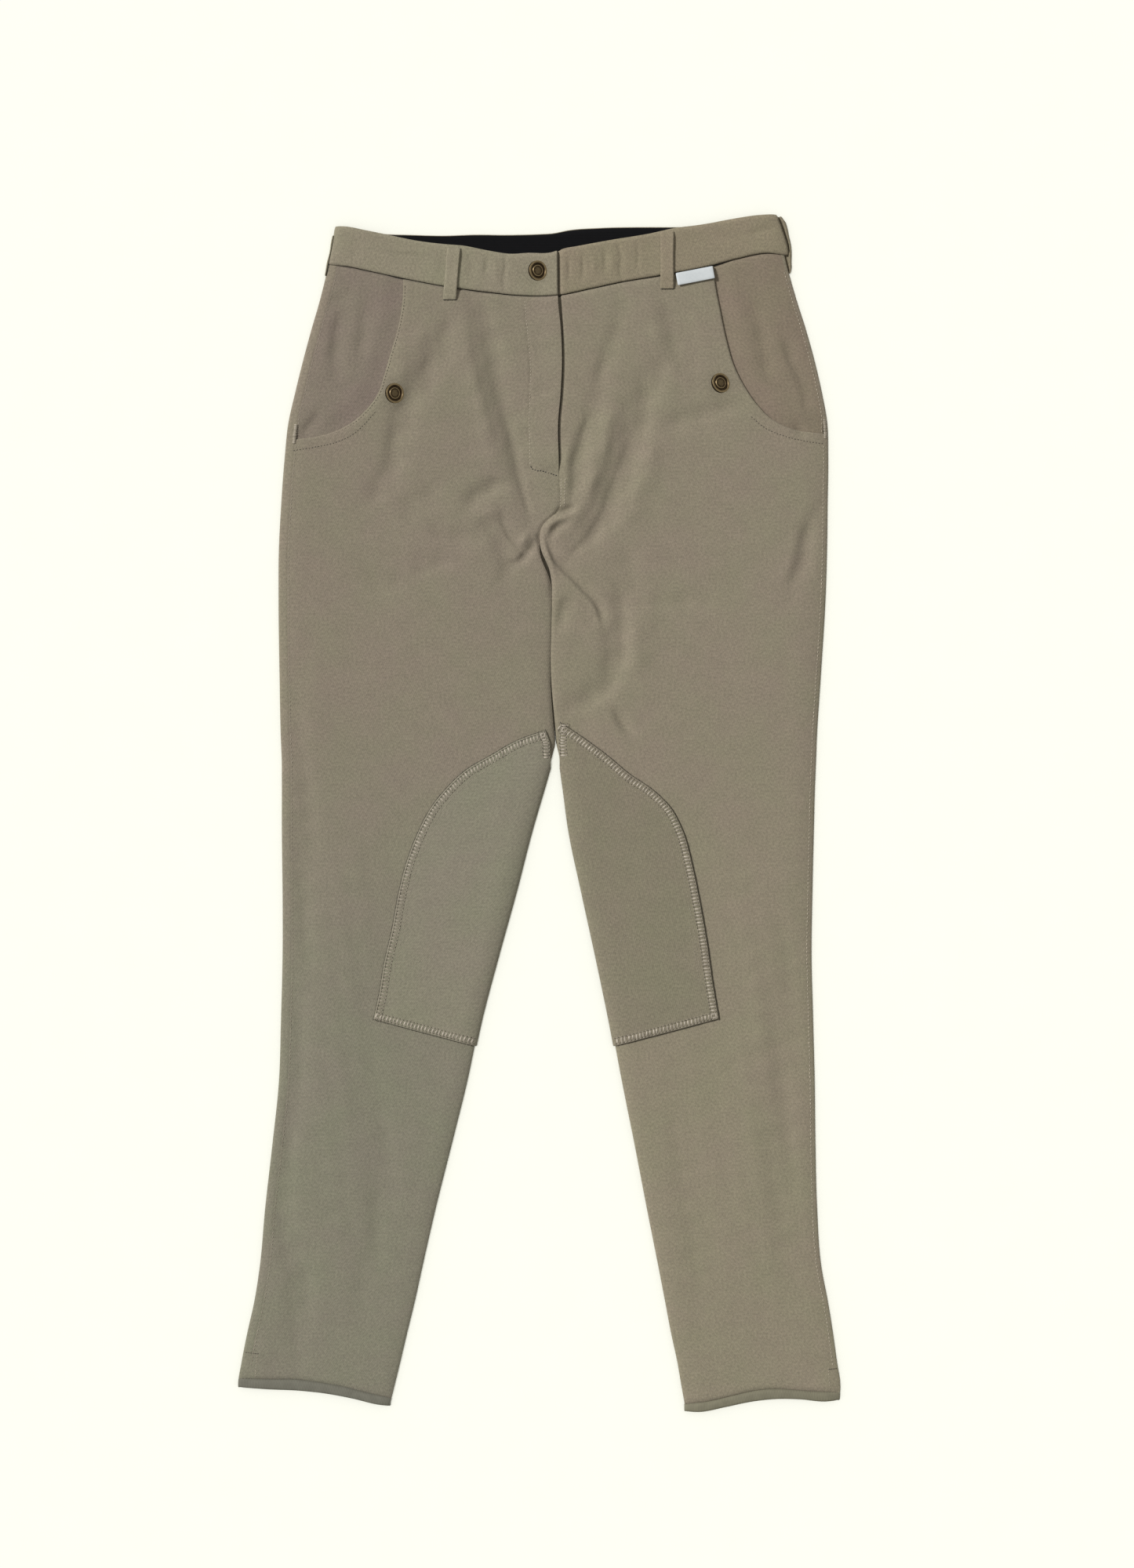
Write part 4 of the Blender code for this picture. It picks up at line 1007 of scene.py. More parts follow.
def band_relief(leg, x, down):
    from_seam = np.maximum(waist(x) - down, 0)
    from_top = np.maximum(down - band_top(x), 0)
    relief = -0.5 * np.exp(-(from_seam / 1.2) ** 2) - 0.9 * np.exp(-(from_top / 1.3) ** 2)
    relief = relief + 0.5 * unevenness(x * 1.7, down * 2.3) - fold_depth(x, down, BAND_FOLDS)
    from_centre = (x - leg.inner(down)) * leg.sign
    if leg is RIGHT:
        return relief + 1.4 * soft_step(1 - from_centre / 22)
    return relief - 1.5 * np.exp(-(from_centre / 2.6) ** 2)


print("dents in the band:", len(BAND_FOLDS))

# %% Front bands
def grid_between(top, bottom, start, end, r, f):
    """Places between four lines: top and bottom give down for x, start and end x for down."""
    x = start(0.0) * (1 - f) + end(0.0) * f + 0 * r
    for _ in range(9):
        down = top(x) * (1 - r) + bottom(x) * r
        x = start(down) * (1 - f) + end(down) * f
    return x, down


def make_front_band(leg):
    f = np.concatenate(([0, 0.004, 0.01, 0.02, 0.035, 0.055], np.linspace(0.08, 0.985, 210),
                        [0.992, 0.997, 1.0]))[None, :]
    r = np.concatenate(([0, 0.02, 0.045, 0.075], np.linspace(0.12, 0.9, 20),
                        [0.935, 0.965, 0.985, 1.0]))[:, None]
    x, down = grid_between(band_top, lambda x: waist(x) - WAIST_GAP, band_side(leg),
                           lambda down: leg.inner(down) + leg.sign * SEAM / 2, r, f)
    under, upper = band_height(leg, x, down)
    upper = np.maximum(upper + band_relief(leg, x, down), under + 0.3)
    from_centre = (x - leg.inner(down)) * leg.sign
    x = x + np.clip(1 - from_centre / 8, 0, 1) * (0.3 if leg is RIGHT else 1.4)
    lift = 1.2 * soft_step(1 - from_centre / 22) if leg is RIGHT else 0.0
    uv = np.stack((x + 700, -down), axis=-1) * MM
    return cloth_piece("waistband_front_" + leg.name, world(x, down, upper),
                       world(x, down, under + lift), uv, "twill",
                       finish="band_" + leg.name)


for leg in LEGS:
    make_front_band(leg)

# %% Back band and its black facing
def make_back_band():
    f = np.concatenate(([0, 0.01], np.linspace(0.02, 0.98, 90), [0.99, 1.0]))[None, :]
    r = steps(8)[:, None]
    x, down = grid_between(back_top, lambda x: waist(x) - SEAM, RIGHT.side, band_side(LEFT), r, f)
    rim = np.where((f == 0) | (f == 1), 0.9, 0.0) + 0 * r
    uv = np.stack((x + 1200, -down), axis=-1) * MM
    return cloth_piece("waistband_back", world(x, down, BACK_BAND - rim / 2), world(x, down, rim), uv,
                       "twill", finish="twill_left")


def make_facing():
    f = np.linspace(0, 1, 120)[None, :]
    r = steps(12)[:, None]
    x, down = grid_between(lambda x: back_top(x) + SEAM, lambda x: waist(x) - STEP_DOWN,
                           lambda down: RIGHT.side(down) + FACING_IN,
                           lambda down: LEFT.side(down) - FACING_IN, r, f)
    wave = 0.1 * np.sin(x / 5.3) * np.sin(x / 13.0 + 1) * (1 - r)
    uv = np.stack((x, -down), axis=-1) * MM
    return cloth_piece("waistband_facing", world(x, down, FACING[1] + wave - 0.12),
                       world(x, down, FACING[0]), uv, "facing_black")


make_back_band()
make_facing()

# %% Fly shield
def make_fly_shield():
    f = steps(24)[None, :]
    r = steps(60)[:, None]
    x, down = grid_between(lambda x: waist(x) + 2.0, lambda x: FLY_END + 0 * x,
                           lambda down: FLY_SIDES[0] + 0 * down, lambda down: FLY_SIDES[1] + 0 * down,
                           r, f)
    sheets = []
    for depth in SHIELD:
        sides = [top_surface(leg, x, down, depth + CLOTH * 0) for leg in LEGS]
        flat = np.where((x < RIGHT.inner(down))[..., None], sides[0], sides[1])
        flat[..., 2] = (5.4 - depth + 0.6 * unevenness(x, down)
                        - np.minimum(fold_depth(x, down), 1.2)) * MM
        sheets.append(flat)
    uv = np.stack((x, -down), axis=-1) * MM
    return cloth_piece("fly_shield", sheets[0], sheets[1], uv, "twill",
                       finish="twill_left")


make_fly_shield()

# %% [markdown]
# ## Belt loops and the tab
#
# A belt loop is a strip folded from three layers. Those on the front lie flat on the band with their
# right edge a little proud, and both ends are tucked under. The loops at the sides stand out from
# the band's edge like half a ring. The small white tab is caught in the waist seam.

# %% Height of what carries a loop
def lying_height(leg, x, down):
    """Height of what lies on the front at a place: the waistband, or the panel below it."""
    below = np.clip((down - waist(x)) / STEP_DOWN, 0.0, 1.0)
    panel = top_surface(leg, x, np.maximum(down, waist(x) + STEP_DOWN))[..., 2] / MM
    _, upper = band_height(leg, x, down)
    band = upper + band_relief(leg, x, np.minimum(down, waist(x) - 3.0))
    return band * (1 - below) + panel * below


def make_front_loop(leg):
    x_top, down_top, x_end, down_end = FRONT_LOOPS[leg.name]
    t = steps(60)[:, None]
    f = np.linspace(-0.5, 0.5, 15)[None, :]
    down = down_top + (down_end - down_top) * t + 0 * f
    x = x_top + (x_end - x_top) * t + LOOP_WIDTH * f * (1 - 0.06 * np.sin(math.pi * t))
    ground = lying_height(leg, x, down)
    ground = np.maximum(ground, lying_height(leg, x, down - 2.0))
    ground = ground.max(axis=1, keepdims=True) + 0 * f
    ends = np.exp(-(t * 42 / 2.2) ** 2) + np.exp(-((1 - t) * 42 / 1.8) ** 2)
    proud = 0.05 + 0.75 * (f + 0.5) ** 2 * (1 - 0.6 * ends) + 0.1 * np.sin(t * 9)
    crown = 0.2 - 0.45 * np.clip(-2 * f, 0, 1) ** 4
    upper = ground + LOOP + proud + crown - 0.3 * ends
    under = ground + proud * 0.85 + 0.1
    uv = np.stack((x + 900, -down), axis=-1) * MM
    return cloth_piece("belt_loop_front_" + leg.name, world(x, down, upper), world(x, down, under),
                       uv, "twill", swell=0.45,
                       finish="band_" + leg.name)


def make_side_loop(leg):
    down_top, down_end, bulge = SIDE_LOOPS[leg.name]
    t = steps(40)[:, None]
    angle = math.radians(52 if leg is LEFT else 70) - math.radians(142) * steps(16)[None, :]
    down = down_top + (down_end - down_top) * t + 0 * angle
    base = band_side(leg)(down)
    if leg is LEFT:
        # Below the band the loop starts at the panel's edge, which lies further in.
        base = leg.side(down) + band_reach(down) * (1 - soft_step((down - 29) / 5))
        reach = leg.side(down) + band_reach(down) - base
        reach = reach + np.interp(down, (1.5, 6, 11, 17, 24, 32, 42, 45, 47),
                                  (3.4, 4.9, 4.6, 3.7, 3.1, 2.6, 2.9, 2.2, 1.2))
    else:
        reach = np.maximum(LOOP + 0.15, bulge * np.sin(math.pi * (0.2 + 0.65 * t)) ** 0.5)
        reach = reach + 0.25 * np.sin(t * 11)
    sheets = []
    for shrink in (0.0, LOOP * 0.9):
        x = base + leg.sign * (SEAM + (reach - shrink) * np.cos(angle))
        z = SIDE_LOOP_MIDDLE + (SIDE_LOOP_HALF - shrink) * np.sin(angle)
        sheets.append(world(x, down, z))
    uv = np.stack((angle * 2 + 950 + 0 * down, -down), axis=-1) * MM
    return cloth_piece("belt_loop_side_" + leg.name, sheets[0], sheets[1], uv, "twill",
                       finish="band_" + leg.name)


for leg in LEGS:
    make_front_loop(leg)
    make_side_loop(leg)

# %% White tab
def make_tab():
    r = np.concatenate(([0.0, 0.03], np.linspace(0.08, 0.92, 10), [0.97, 1.0]))[:, None]
    f = np.concatenate(([0.0, 0.01], np.linspace(0.03, 0.97, 30), [0.99, 1.0]))[None, :]
    corners = np.array(TAB_CORNERS)
    x = ((corners[0, 0] * (1 - f) + corners[1, 0] * f) * (1 - r)
         + (corners[3, 0] * (1 - f) + corners[2, 0] * f) * r)
    down = ((corners[0, 1] * (1 - f) + corners[1, 1] * f) * (1 - r)
            + (corners[3, 1] * (1 - f) + corners[2, 1] * f) * r)
    ground = top_surface(LEFT, x, down)[..., 2] / MM
    ground = np.maximum(ground, 5.0 + 0 * ground)
    lift = 0.4 + 0.9 * r + 0.15 * np.sin(f * 7 + 0.5)
    edge = 0.25 * (np.exp(-(r / 0.06) ** 2) + np.exp(-((1 - r) / 0.06) ** 2)
                   + np.exp(-(f / 0.02) ** 2) + np.exp(-((1 - f) / 0.02) ** 2))
    uv = np.stack((f * 30 + 0 * r, -r * 10 + 0 * f), axis=-1) * MM
    return cloth_piece("label_tab", world(x, down, ground + lift + TAB - edge),
                       world(x, down, ground + lift), uv, "label_white")


make_tab()

# %% [markdown]
# ## Stitches
#
# Sewing thread is what makes cloth read as a garment. One stitch is modelled once: a small sphere,
# drawn out to the length of a stitch. It is then copied along each seam, and every copy is laid on
# the surface function with both ends pulled down into the cloth, as real thread is.

# %% One stitch
bpy.ops.object.select_all(action="DESELECT")
bpy.ops.mesh.primitive_uv_sphere_add(segments=6, ring_count=4, radius=0.5)
seed = bpy.context.object
bpy.ops.object.mode_set(mode="EDIT")
bpy.ops.mesh.select_all(action="SELECT")
bpy.ops.transform.rotate(value=math.radians(90), orient_axis="Y", center_override=(0, 0, 0))
bpy.ops.mesh.normals_make_consistent(inside=False)
bpy.ops.object.mode_set(mode="OBJECT")
STITCH_POINTS = np.array([v.co[:] for v in seed.data.vertices])
STITCH_FACES = [tuple(p.vertices) for p in seed.data.polygons]
bpy.data.objects.remove(seed)
print("one stitch has", len(STITCH_FACES), "faces")

# %% Rows of stitches
def polyline(places, pitch):
    """Even steps along a line of places: centres and directions."""
    places = np.array(places, float)
    along = np.concatenate(([0.0], np.cumsum(np.hypot(*np.diff(places, axis=0).T))))
    count = max(2, int(round(along[-1] / pitch)))
    s = (np.arange(count) + 0.5) / count * along[-1]
    x = np.interp(s, along, places[:, 0])
    down = np.interp(s, along, places[:, 1])
    ahead = np.minimum(s + 0.6, along[-1])
    behind = np.maximum(s - 0.6, 0)
    way = np.stack((np.interp(ahead, along, places[:, 0]) - np.interp(behind, along, places[:, 0]),
                    np.interp(ahead, along, places[:, 1]) - np.interp(behind, along, places[:, 1])), axis=-1)
    way /= np.linalg.norm(way, axis=1, keepdims=True)
    return np.stack((x, down), axis=-1), way


def smooth_line(places, count=60):
    """The places of a smooth curve through a few marks."""
    return np.stack(path(table("x down", places))(np.linspace(0, 1, count)), axis=-1)


def lay(centres, ways, length, width, height, surface, seed_number, shift=0.0, lean=0.0, loose=0.1):
    """Copies of the stitch on a surface: its points in metres, and their faces."""
    chance = np.random.default_rng(seed_number)
    count = len(centres)
    normal = np.stack((-ways[:, 1], ways[:, 0]), axis=-1)
    centres = centres + normal * (shift + chance.normal(0, loose * width, count))[:, None]
    turn = math.radians(lean) + chance.normal(0, 0.05, count)
    way = ways * np.cos(turn)[:, None] + normal * np.sin(turn)[:, None]
    side = np.stack((-way[:, 1], way[:, 0]), axis=-1)
    size = length * chance.uniform(0.9, 1.08, count)
    a = STITCH_POINTS[None, :, 0] * size[:, None]
    b = STITCH_POINTS[None, :, 1] * width
    c = STITCH_POINTS[None, :, 2] * height + height * (0.32 - 0.75 * (2 * STITCH_POINTS[None, :, 0]) ** 2)
    x = centres[:, None, 0] + way[:, None, 0] * a + side[:, None, 0] * b
    down = centres[:, None, 1] + way[:, None, 1] * a + side[:, None, 1] * b
    points = surface(x, down)
    points[..., 2] += c * MM
    n = len(STITCH_POINTS)
    faces = [tuple(i + k * n for i in face) for k in range(count) for face in STITCH_FACES]
    return points.reshape(-1, 3), faces


def sew(name, rows, finish):
    """All rows of one seam as one piece."""
    points = []
    faces = []
    start = 0
    for row_points, row_faces in rows:
        points.append(row_points)
        faces += [tuple(i + start for i in face) for face in row_faces]
        start += len(row_points)
    points = np.concatenate(points)
    uvs = points[:, :2]
    piece = own(name, mesh_of(name, points, faces, uvs), finish)
    print(name, "has", len(faces) // len(STITCH_FACES), "stitches")
    return piece


def on_top(leg, depth=0.0):
    return lambda x, down: top_surface(leg, x, down, depth)


print("a row of stitches follows any line")

# %% Flat seam round each patch
def patch_outline(leg):
    """The patch's sewn edge: its short tip, its long curve and its lower edge."""
    tip = np.linspace(0.25, 1, 12)
    x, down, _ = patch_place(leg, 0.0, tip)
    first = np.stack((x, down), axis=-1)
    v = np.linspace(0, 1, 160)
    x, down, _ = patch_place(leg, v, 1.0)
    second = np.stack((x, down), axis=-1)
    x, down, _ = patch_place(leg, 1.0, np.linspace(1, 0.03, 60))
    third = np.stack((x, down), axis=-1)
    return first, second, third


def sew_patch(leg):
    """Bars across the edge, a row along each end of them, and dark dots and a dark row beside the edge that
    are painted shade.
    """
    surface = on_top(leg, -PATCH_GAP - PATCH)
    beside = on_top(leg, 0.0)
    inward = leg.sign
    bright, dull, shade_dots = [], [], []
    for i, line in enumerate(patch_outline(leg)):
        centres, ways = polyline(line, 2.9 if i else 2.5)
        across = np.stack((-ways[:, 1], ways[:, 0]), axis=-1)
        worn = (leg is RIGHT) and i == 1
        fresh = centres[:, 1] < 540 if worn else np.full(len(centres), True)
        for rows, some, size in ((bright, fresh, 1.5), (dull, ~fresh, 1.1)):
            if some.any():
                middle = (centres + across * 3.1 * inward)[some]
                rows.append(lay(middle, across[some], 4.8, size, 0.75, surface, 11 + i, lean=8.0))
        ends, end_ways = polyline(line, 2.9)
        dull.append(lay(ends, end_ways, 2.5, 0.6, 0.45, surface, 21 + i, shift=0.6 * inward))
        dull.append(lay(ends, end_ways, 2.3, 0.55, 0.4, surface, 31 + i, shift=5.7 * inward))
        # Dark dots at the needle holes and a dark row on the panel just outside the patch's edge are painted
        # shade of the holes and of the crevice.
        gaps = ends + end_ways * 1.45
        shade_dots.append(lay(gaps, end_ways, 1.5, 0.9, 0.5, surface, 36 + i, shift=1.0 * inward))
        shade_dots.append(lay(gaps, end_ways, 1.4, 0.8, 0.5, surface, 38 + i, shift=5.6 * inward))
        shade_dots.append(lay(gaps, end_ways, 3.6, 0.8, 0.5, beside, 40 + i, shift=-0.7 * inward))
    sew("stitch_patch_ends_" + leg.name, dull, "thread_faint")
    sew("stitch_patch_holes_" + leg.name, shade_dots, "thread_dark")
    return sew("stitch_patch_" + leg.name, bright, "thread_patch")


for leg in LEGS:
    sew_patch(leg)

# %% Faint rows on the patches
def sew_patch_marks(leg):
    surface = on_top(leg, -PATCH_GAP - PATCH)
    if leg is RIGHT:
        lines = (((-108.2, 612.5), (-79.4, 604.2), (-57.6, 591.4), (-45.4, 599.7)),
                 ((-115.8, 609.8), (-115.8, 613.7), (-112, 613.2)))
    else:
        lines = (((55, 608.6), (70.4, 588.2), (92.8, 595.8), (121, 608)),
                 ((122.9, 581.1), (127.5, 604), (131.2, 627.8)))
    rows = []
    for i, places in enumerate(lines):
        centres, ways = polyline(places, 2.4)
        rows.append(lay(centres, ways, 1.5, 0.45, 0.35, surface, 41 + i))
    line = np.stack(patch_place(leg, np.linspace(0.08, 0.9, 120), 1.0)[:2], axis=-1)
    centres, ways = polyline(line, 2.6)
    rows.append(lay(centres, ways, 1.5, 0.45, 0.35, surface, 51, shift=leg.sign * 8.8))
    return sew("stitch_marks_" + leg.name, rows, "thread_faint")


for leg in LEGS:
    sew_patch_marks(leg)

# %% Side seams
def sew_side(leg):
    """Topstitches beside the side seam, on the front panel."""
    down = np.linspace(188, 940, 300)
    line = np.stack((leg.side(down) - leg.sign * (leg.seam_in + 1.3), down), axis=-1)
    centres, ways = polyline(line, 3.1)
    wide = 0.8 if leg is LEFT else 0.55
    rows = [lay(centres, ways, 2.2, wide, 0.55, on_top(leg), 61)]
    return sew("stitch_side_" + leg.name, rows, "thread" if leg is LEFT else "thread_faint")


def sew_hip(leg):
    """The same seam above, where it joins the pocket inset."""
    points = mouth_points(leg)
    down = np.linspace(46, 178, 80)
    line = np.stack((leg.side(down) - leg.sign * (leg.seam_in + 1.3), down), axis=-1)
    centres, ways = polyline(line, 3.1)

    def surface(x, down):
        return top_surface(leg, x, down, inset_depth(leg, points, x, down))
    rows = [lay(centres, ways, 2.2, 0.7 if leg is LEFT else 0.5, 0.5, surface, 62)]
    return sew("stitch_hip_" + leg.name, rows, "thread" if leg is LEFT else "thread_faint")


for leg in LEGS:
    sew_side(leg)
    sew_hip(leg)

# %% Pocket mouths, fly and hems
def sew_pocket(leg):
    if leg is RIGHT:
        marks = ((-201, 192.6), (-181.1, 189.4), (-165.1, 185.6), (-151.7, 179.2), (-140.5, 169),
                 (-133.1, 160.6))
    else:
        marks = ((172.8, 164.5), (185.6, 174.7), (199.7, 180.5), (214.4, 184.3), (232.5, 186.9))
    centres, ways = polyline(smooth_line(marks), 2.5)
    rows = [lay(centres, ways, 1.9, 0.75, 0.45, on_top(leg), 71)]
    s = np.linspace(0.03, 0.99, 120)
    centres, ways = polyline(np.stack(leg.mouth(s), axis=-1), 2.6)
    rows.append(lay(centres, ways, 1.6, 0.45, 0.4, on_top(leg, 0.4), 72, shift=1.4 * leg.sign))
    return sew("stitch_pocket_" + leg.name, rows, "thread_dark")


def sew_fly():
    fly = smooth_line(((-11.5, 70), (-9.6, 90), (-7, 116.5), (-7.7, 170.2), (-7, 204)))
    centres, ways = polyline(fly, 2.6)
    rows = [lay(centres, ways, 1.9, 0.7, 0.5, on_top(RIGHT), 81)]
    centres, ways = polyline(((17.6, 215), (16.6, 239)), 2.5)
    rows.append(lay(centres + np.array([0.9, 0]), ways, 1.9, 0.7, 0.5, on_top(LEFT), 82))
    rows.append(lay(centres + np.array([4.0, 0]), ways, 1.9, 0.7, 0.5, on_top(LEFT), 83))
    return sew("stitch_fly", rows, "thread")


def sew_fly_end():
    # The fly's foot is real stitching, but its near-black thread is painted shade of the groove it lies in.
    foot = smooth_line(((-7, 205), (-5, 207.6), (3.2, 209.3), (15.2, 213.1)))
    centres, ways = polyline(foot, 2.2)
    rows = [lay(centres, ways, 2.2, 0.95, 0.5, on_top(RIGHT), 84)]
    return sew("stitch_fly_end", rows, "thread_shade")


def sew_tack(leg):
    """The bar tack that ends the pocket mouth at the side seam."""
    down = np.linspace(leg.mouth(1.0)[1] - 11, leg.mouth(1.0)[1] + 3, 11)
    x = leg.side(down) - leg.sign * leg.seam_in
    centres = np.stack((x, down), axis=-1)
    ways = np.broadcast_to(np.array((1.0, 0.12)), centres.shape)
    rows = [lay(centres, ways, 3.2, 1.7, 0.9, on_top(leg, -0.45), 92)]
    return sew("stitch_tack_" + leg.name, rows, "thread_faint")


def sew_ankle(leg):
    if leg is RIGHT:
        line = ((-229.8, 931.0), (-231.7, 949.5))
    else:
        line = ((236.3, 941.0), (237.6, 959.5))
    centres, ways = polyline(line, 2.3)
    rows = [lay(centres, ways, 1.7, 0.5, 0.45, on_top(leg), 91)]
    return sew("stitch_ankle_" + leg.name, rows, "thread")


for leg in LEGS:
    sew_pocket(leg)
    sew_tack(leg)
    sew_ankle(leg)
sew_fly()
sew_fly_end()

# %% Near-black threads painted as shadow in the ditches
def sew_waist_shadow(leg):
    """Near-black thread sunk in the waist seam's ditch and at each front loop's end: painted shadow of the
    ditch and of the loop.
    """
    x = np.linspace(leg.inner(60.0) + leg.sign * 0.8, leg.side(38.0) - leg.sign * 1.5, 200)
    centres, ways = polyline(np.stack((x, waist(x)), axis=-1), 2.4)
    rows = [lay(centres, ways, 3.4, 1.3, 0.5, on_top(leg, 0.8), 101, loose=0.04)]
    # A near-black row along the front loop's lower end is painted shadow of the loop.
    _, _, x_end, down_end = FRONT_LOOPS[leg.name]
    centres, ways = polyline(((x_end - 4.9, down_end + 0.5), (x_end + 5.6, down_end + 0.5)), 2.1)
    rows.append(lay(centres, ways, 3.0, 0.9, 0.5, on_top(leg, -0.2), 104, loose=0.04))
    return sew("stitch_waist_" + leg.name, rows, "thread_shade")


def sew_hem_shade(leg):
    # The row in the hem seam's ditch stands for the seam's thread, but its dark brown is painted shade of the
    # ditch; the short row on the ankle fold is painted crease shade.
    x = np.linspace(leg.inner(955.0) + leg.sign * 2.5, leg.side(955.0) - leg.sign * 2.5, 120)
    centres, ways = polyline(np.stack((x, leg.hem(x)), axis=-1), 2.4)
    rows = [lay(centres, ways, 2.9, 0.75, 0.45, on_top(leg, 0.55), 102, loose=0.1)]
    if leg is RIGHT:
        fold = ((-240.0, 928.8), (-228.5, 930.0))
    else:
        fold = ((236.2, 942.7), (243.5, 942.0))
    centres, ways = polyline(fold, 1.9)
    rows.append(lay(centres, ways, 2.4, 0.75, 0.4, on_top(leg, 0.0), 103, loose=0.05))
    return sew("stitch_hem_" + leg.name, rows, "thread_dark")


for leg in LEGS:
    sew_waist_shadow(leg)
    sew_hem_shade(leg)

# %% [markdown]
# ## Buttons
#
# The buttons are stamped brass on a shank, aged until only the raised rings still shine. Each starts
# as a cylinder. Insets with a depth cut the groove and raise the dome, and the shank is drawn from
# the underside. They hang askew on their thread, so each is tilted before it is put in its place.

# %% Model one button
def pick_cap(shape_object, top):
    """Selects the flat cap face of the object in edit mode, on top or below."""
    shape = bmesh.from_edit_mesh(shape_object.data)
    bpy.ops.mesh.select_all(action="DESELECT")
    faces = [f for f in shape.faces if abs(f.normal.z) > 0.9 and (f.normal.z > 0) == top]
    cap = min(faces, key=lambda f: f.calc_center_median().xy.length + 0.0 * len(f.verts))
    cap.select = True
    shape.select_flush_mode()
    bmesh.update_edit_mesh(shape_object.data)


def model_button():
    bpy.ops.object.select_all(action="DESELECT")
    bpy.ops.mesh.primitive_cylinder_add(vertices=48, radius=BUTTON_RADIUS * MM, depth=2.3 * MM,
                                        location=(0, 0, 0.85 * MM))
    button = bpy.context.object
    bpy.ops.object.mode_set(mode="EDIT")
    pick_cap(button, True)
    for inward, rise in ((0.55, 0.15), (0.95, 0.0), (0.3, -0.75), (1.5, -0.1), (0.3, 0.55),
                         (0.55, 0.08), (0.3, -0.3), (0.9, 0.12), (0.9, 0.14), (0.8, 0.08), (0.6, 0.02)):
        bpy.ops.mesh.inset(thickness=inward * MM, depth=rise * MM)
    pick_cap(button, False)
    bpy.ops.mesh.inset(thickness=(BUTTON_RADIUS - 2.2) * MM, depth=0.2 * MM)
    bpy.ops.mesh.extrude_region_move(TRANSFORM_OT_translate={"value": (0, 0, -2.8 * MM)})
    bpy.ops.object.mode_set(mode="OBJECT")
    soften = button.modifiers.new("soften", "BEVEL")
    soften.width = 0.14 * MM
    soften.segments = 2
    soften.limit_method = "ANGLE"
    soften.angle_limit = math.radians(25)
    bpy.ops.object.modifier_apply(modifier="soften")
    mesh = button.data.copy()
    bpy.data.objects.remove(button)
    return mesh


button_mesh = model_button()
print("one button has", len(button_mesh.polygons), "faces")

# %% Place the buttons
def painted_shade_faces(mesh):
    """The faces of the outer wall and of the underside, which take a near-black brass as painted shade."""
    far = 0.93 * BUTTON_RADIUS * MM
    return [f.index for f in mesh.polygons
            if (f.center.xy.length > far and f.normal.z < 0.75) or f.normal.z < -0.2]


PAINTED_SHADE_FACES = painted_shade_faces(button_mesh)


def place_button(name, mesh):
    """A button in the place of its CAD node, resting where that one rests."""
    low, high = (Vector(corner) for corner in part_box("button_" + name))
    x, down, turn = BUTTONS[name]
    mesh.transform(Matrix.Rotation(math.radians(BUTTON_TILT), 4, "Y"))
    mesh.transform(Matrix.Rotation(math.radians(turn), 4, "Z"))
    points = np.array([v.co[:] for v in mesh.vertices])
    middle = (points.min(axis=0) + points.max(axis=0)) / 2
    target = (np.array(low) + np.array(high)) / 2
    drop = np.array((target[0] - middle[0], target[1] - middle[1], low.z - points[:, 2].min()))
    mesh.transform(Matrix.Translation(drop))
    piece = own("metal_button_" + name, mesh, "antique_brass")
    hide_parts("button_" + name)
    return piece


for name in BUTTONS:
    place_button(name, button_mesh.copy())
    print("button", name, "is in place")

# %% [markdown]
# ## Materials
#
# Each finish starts from the real one. Colours are written as sRGB hex, as one reads them from a
# swatch, and one function turns them to the linear values that a shader needs. One small function
# adds a node, with its settings and links.

# %% Colour and node helpers
def linear(code):
    """An sRGB hex colour as linear red, green, blue and alpha."""
    values = [int(code[i:i + 2], 16) / 255 for i in (1, 3, 5)]
    return tuple(v / 12.92 if v <= 0.04045 else ((v + 0.055) / 1.055) ** 2.4 for v in values) + (1.0,)


def add(tree, kind, settings=None, **inputs):
    """A node of a kind, with its settings, and its inputs given as values or as other outputs."""
    node = tree.nodes.new(kind)
    for name, value in (settings or {}).items():
        setattr(node, name, value)
    for name, value in inputs.items():
        socket = node.inputs[int(name[1:])] if name[0] == "_" else node.inputs[name.replace("_", " ")]
        if isinstance(value, bpy.types.NodeSocket):
            tree.links.new(value, socket)
        else:
            socket.default_value = value
    return node


def new_material(name):
    """An empty material with its shader and tree."""
    material = bpy.data.materials.new(name)
    material.use_nodes = True
    tree = material.node_tree
    shader = tree.nodes["Principled BSDF"]
    return material, tree, shader


def wave_scale(period_mm):
    """The Wave texture's scale for a period, on coordinates in metres."""
    return math.tau / 20 / (period_mm * MM)


print("khaki in linear light:", [round(v, 3) for v in linear("#8a8170")])

# %% Stretch cotton twill
# Cotton and elastane twill, woven with a steep diagonal and brushed: it scatters light evenly, with
# a faint bloom at grazing angles and no gloss. The real ribs are 0.5 mm apart. They are drawn 1.5 mm
# apart, because finer ones don't show at this distance. The dye took unevenly, more olive in some
# places and more taupe in others.
def shifted(code, red, green, blue):
    """The hex colour with a few steps added to its red, green and blue."""
    values = [int(code[i:i + 2], 16) + step for i, step in zip((1, 3, 5), (red, green, blue))]
    return "#" + "".join(f"{value:02x}" for value in values)


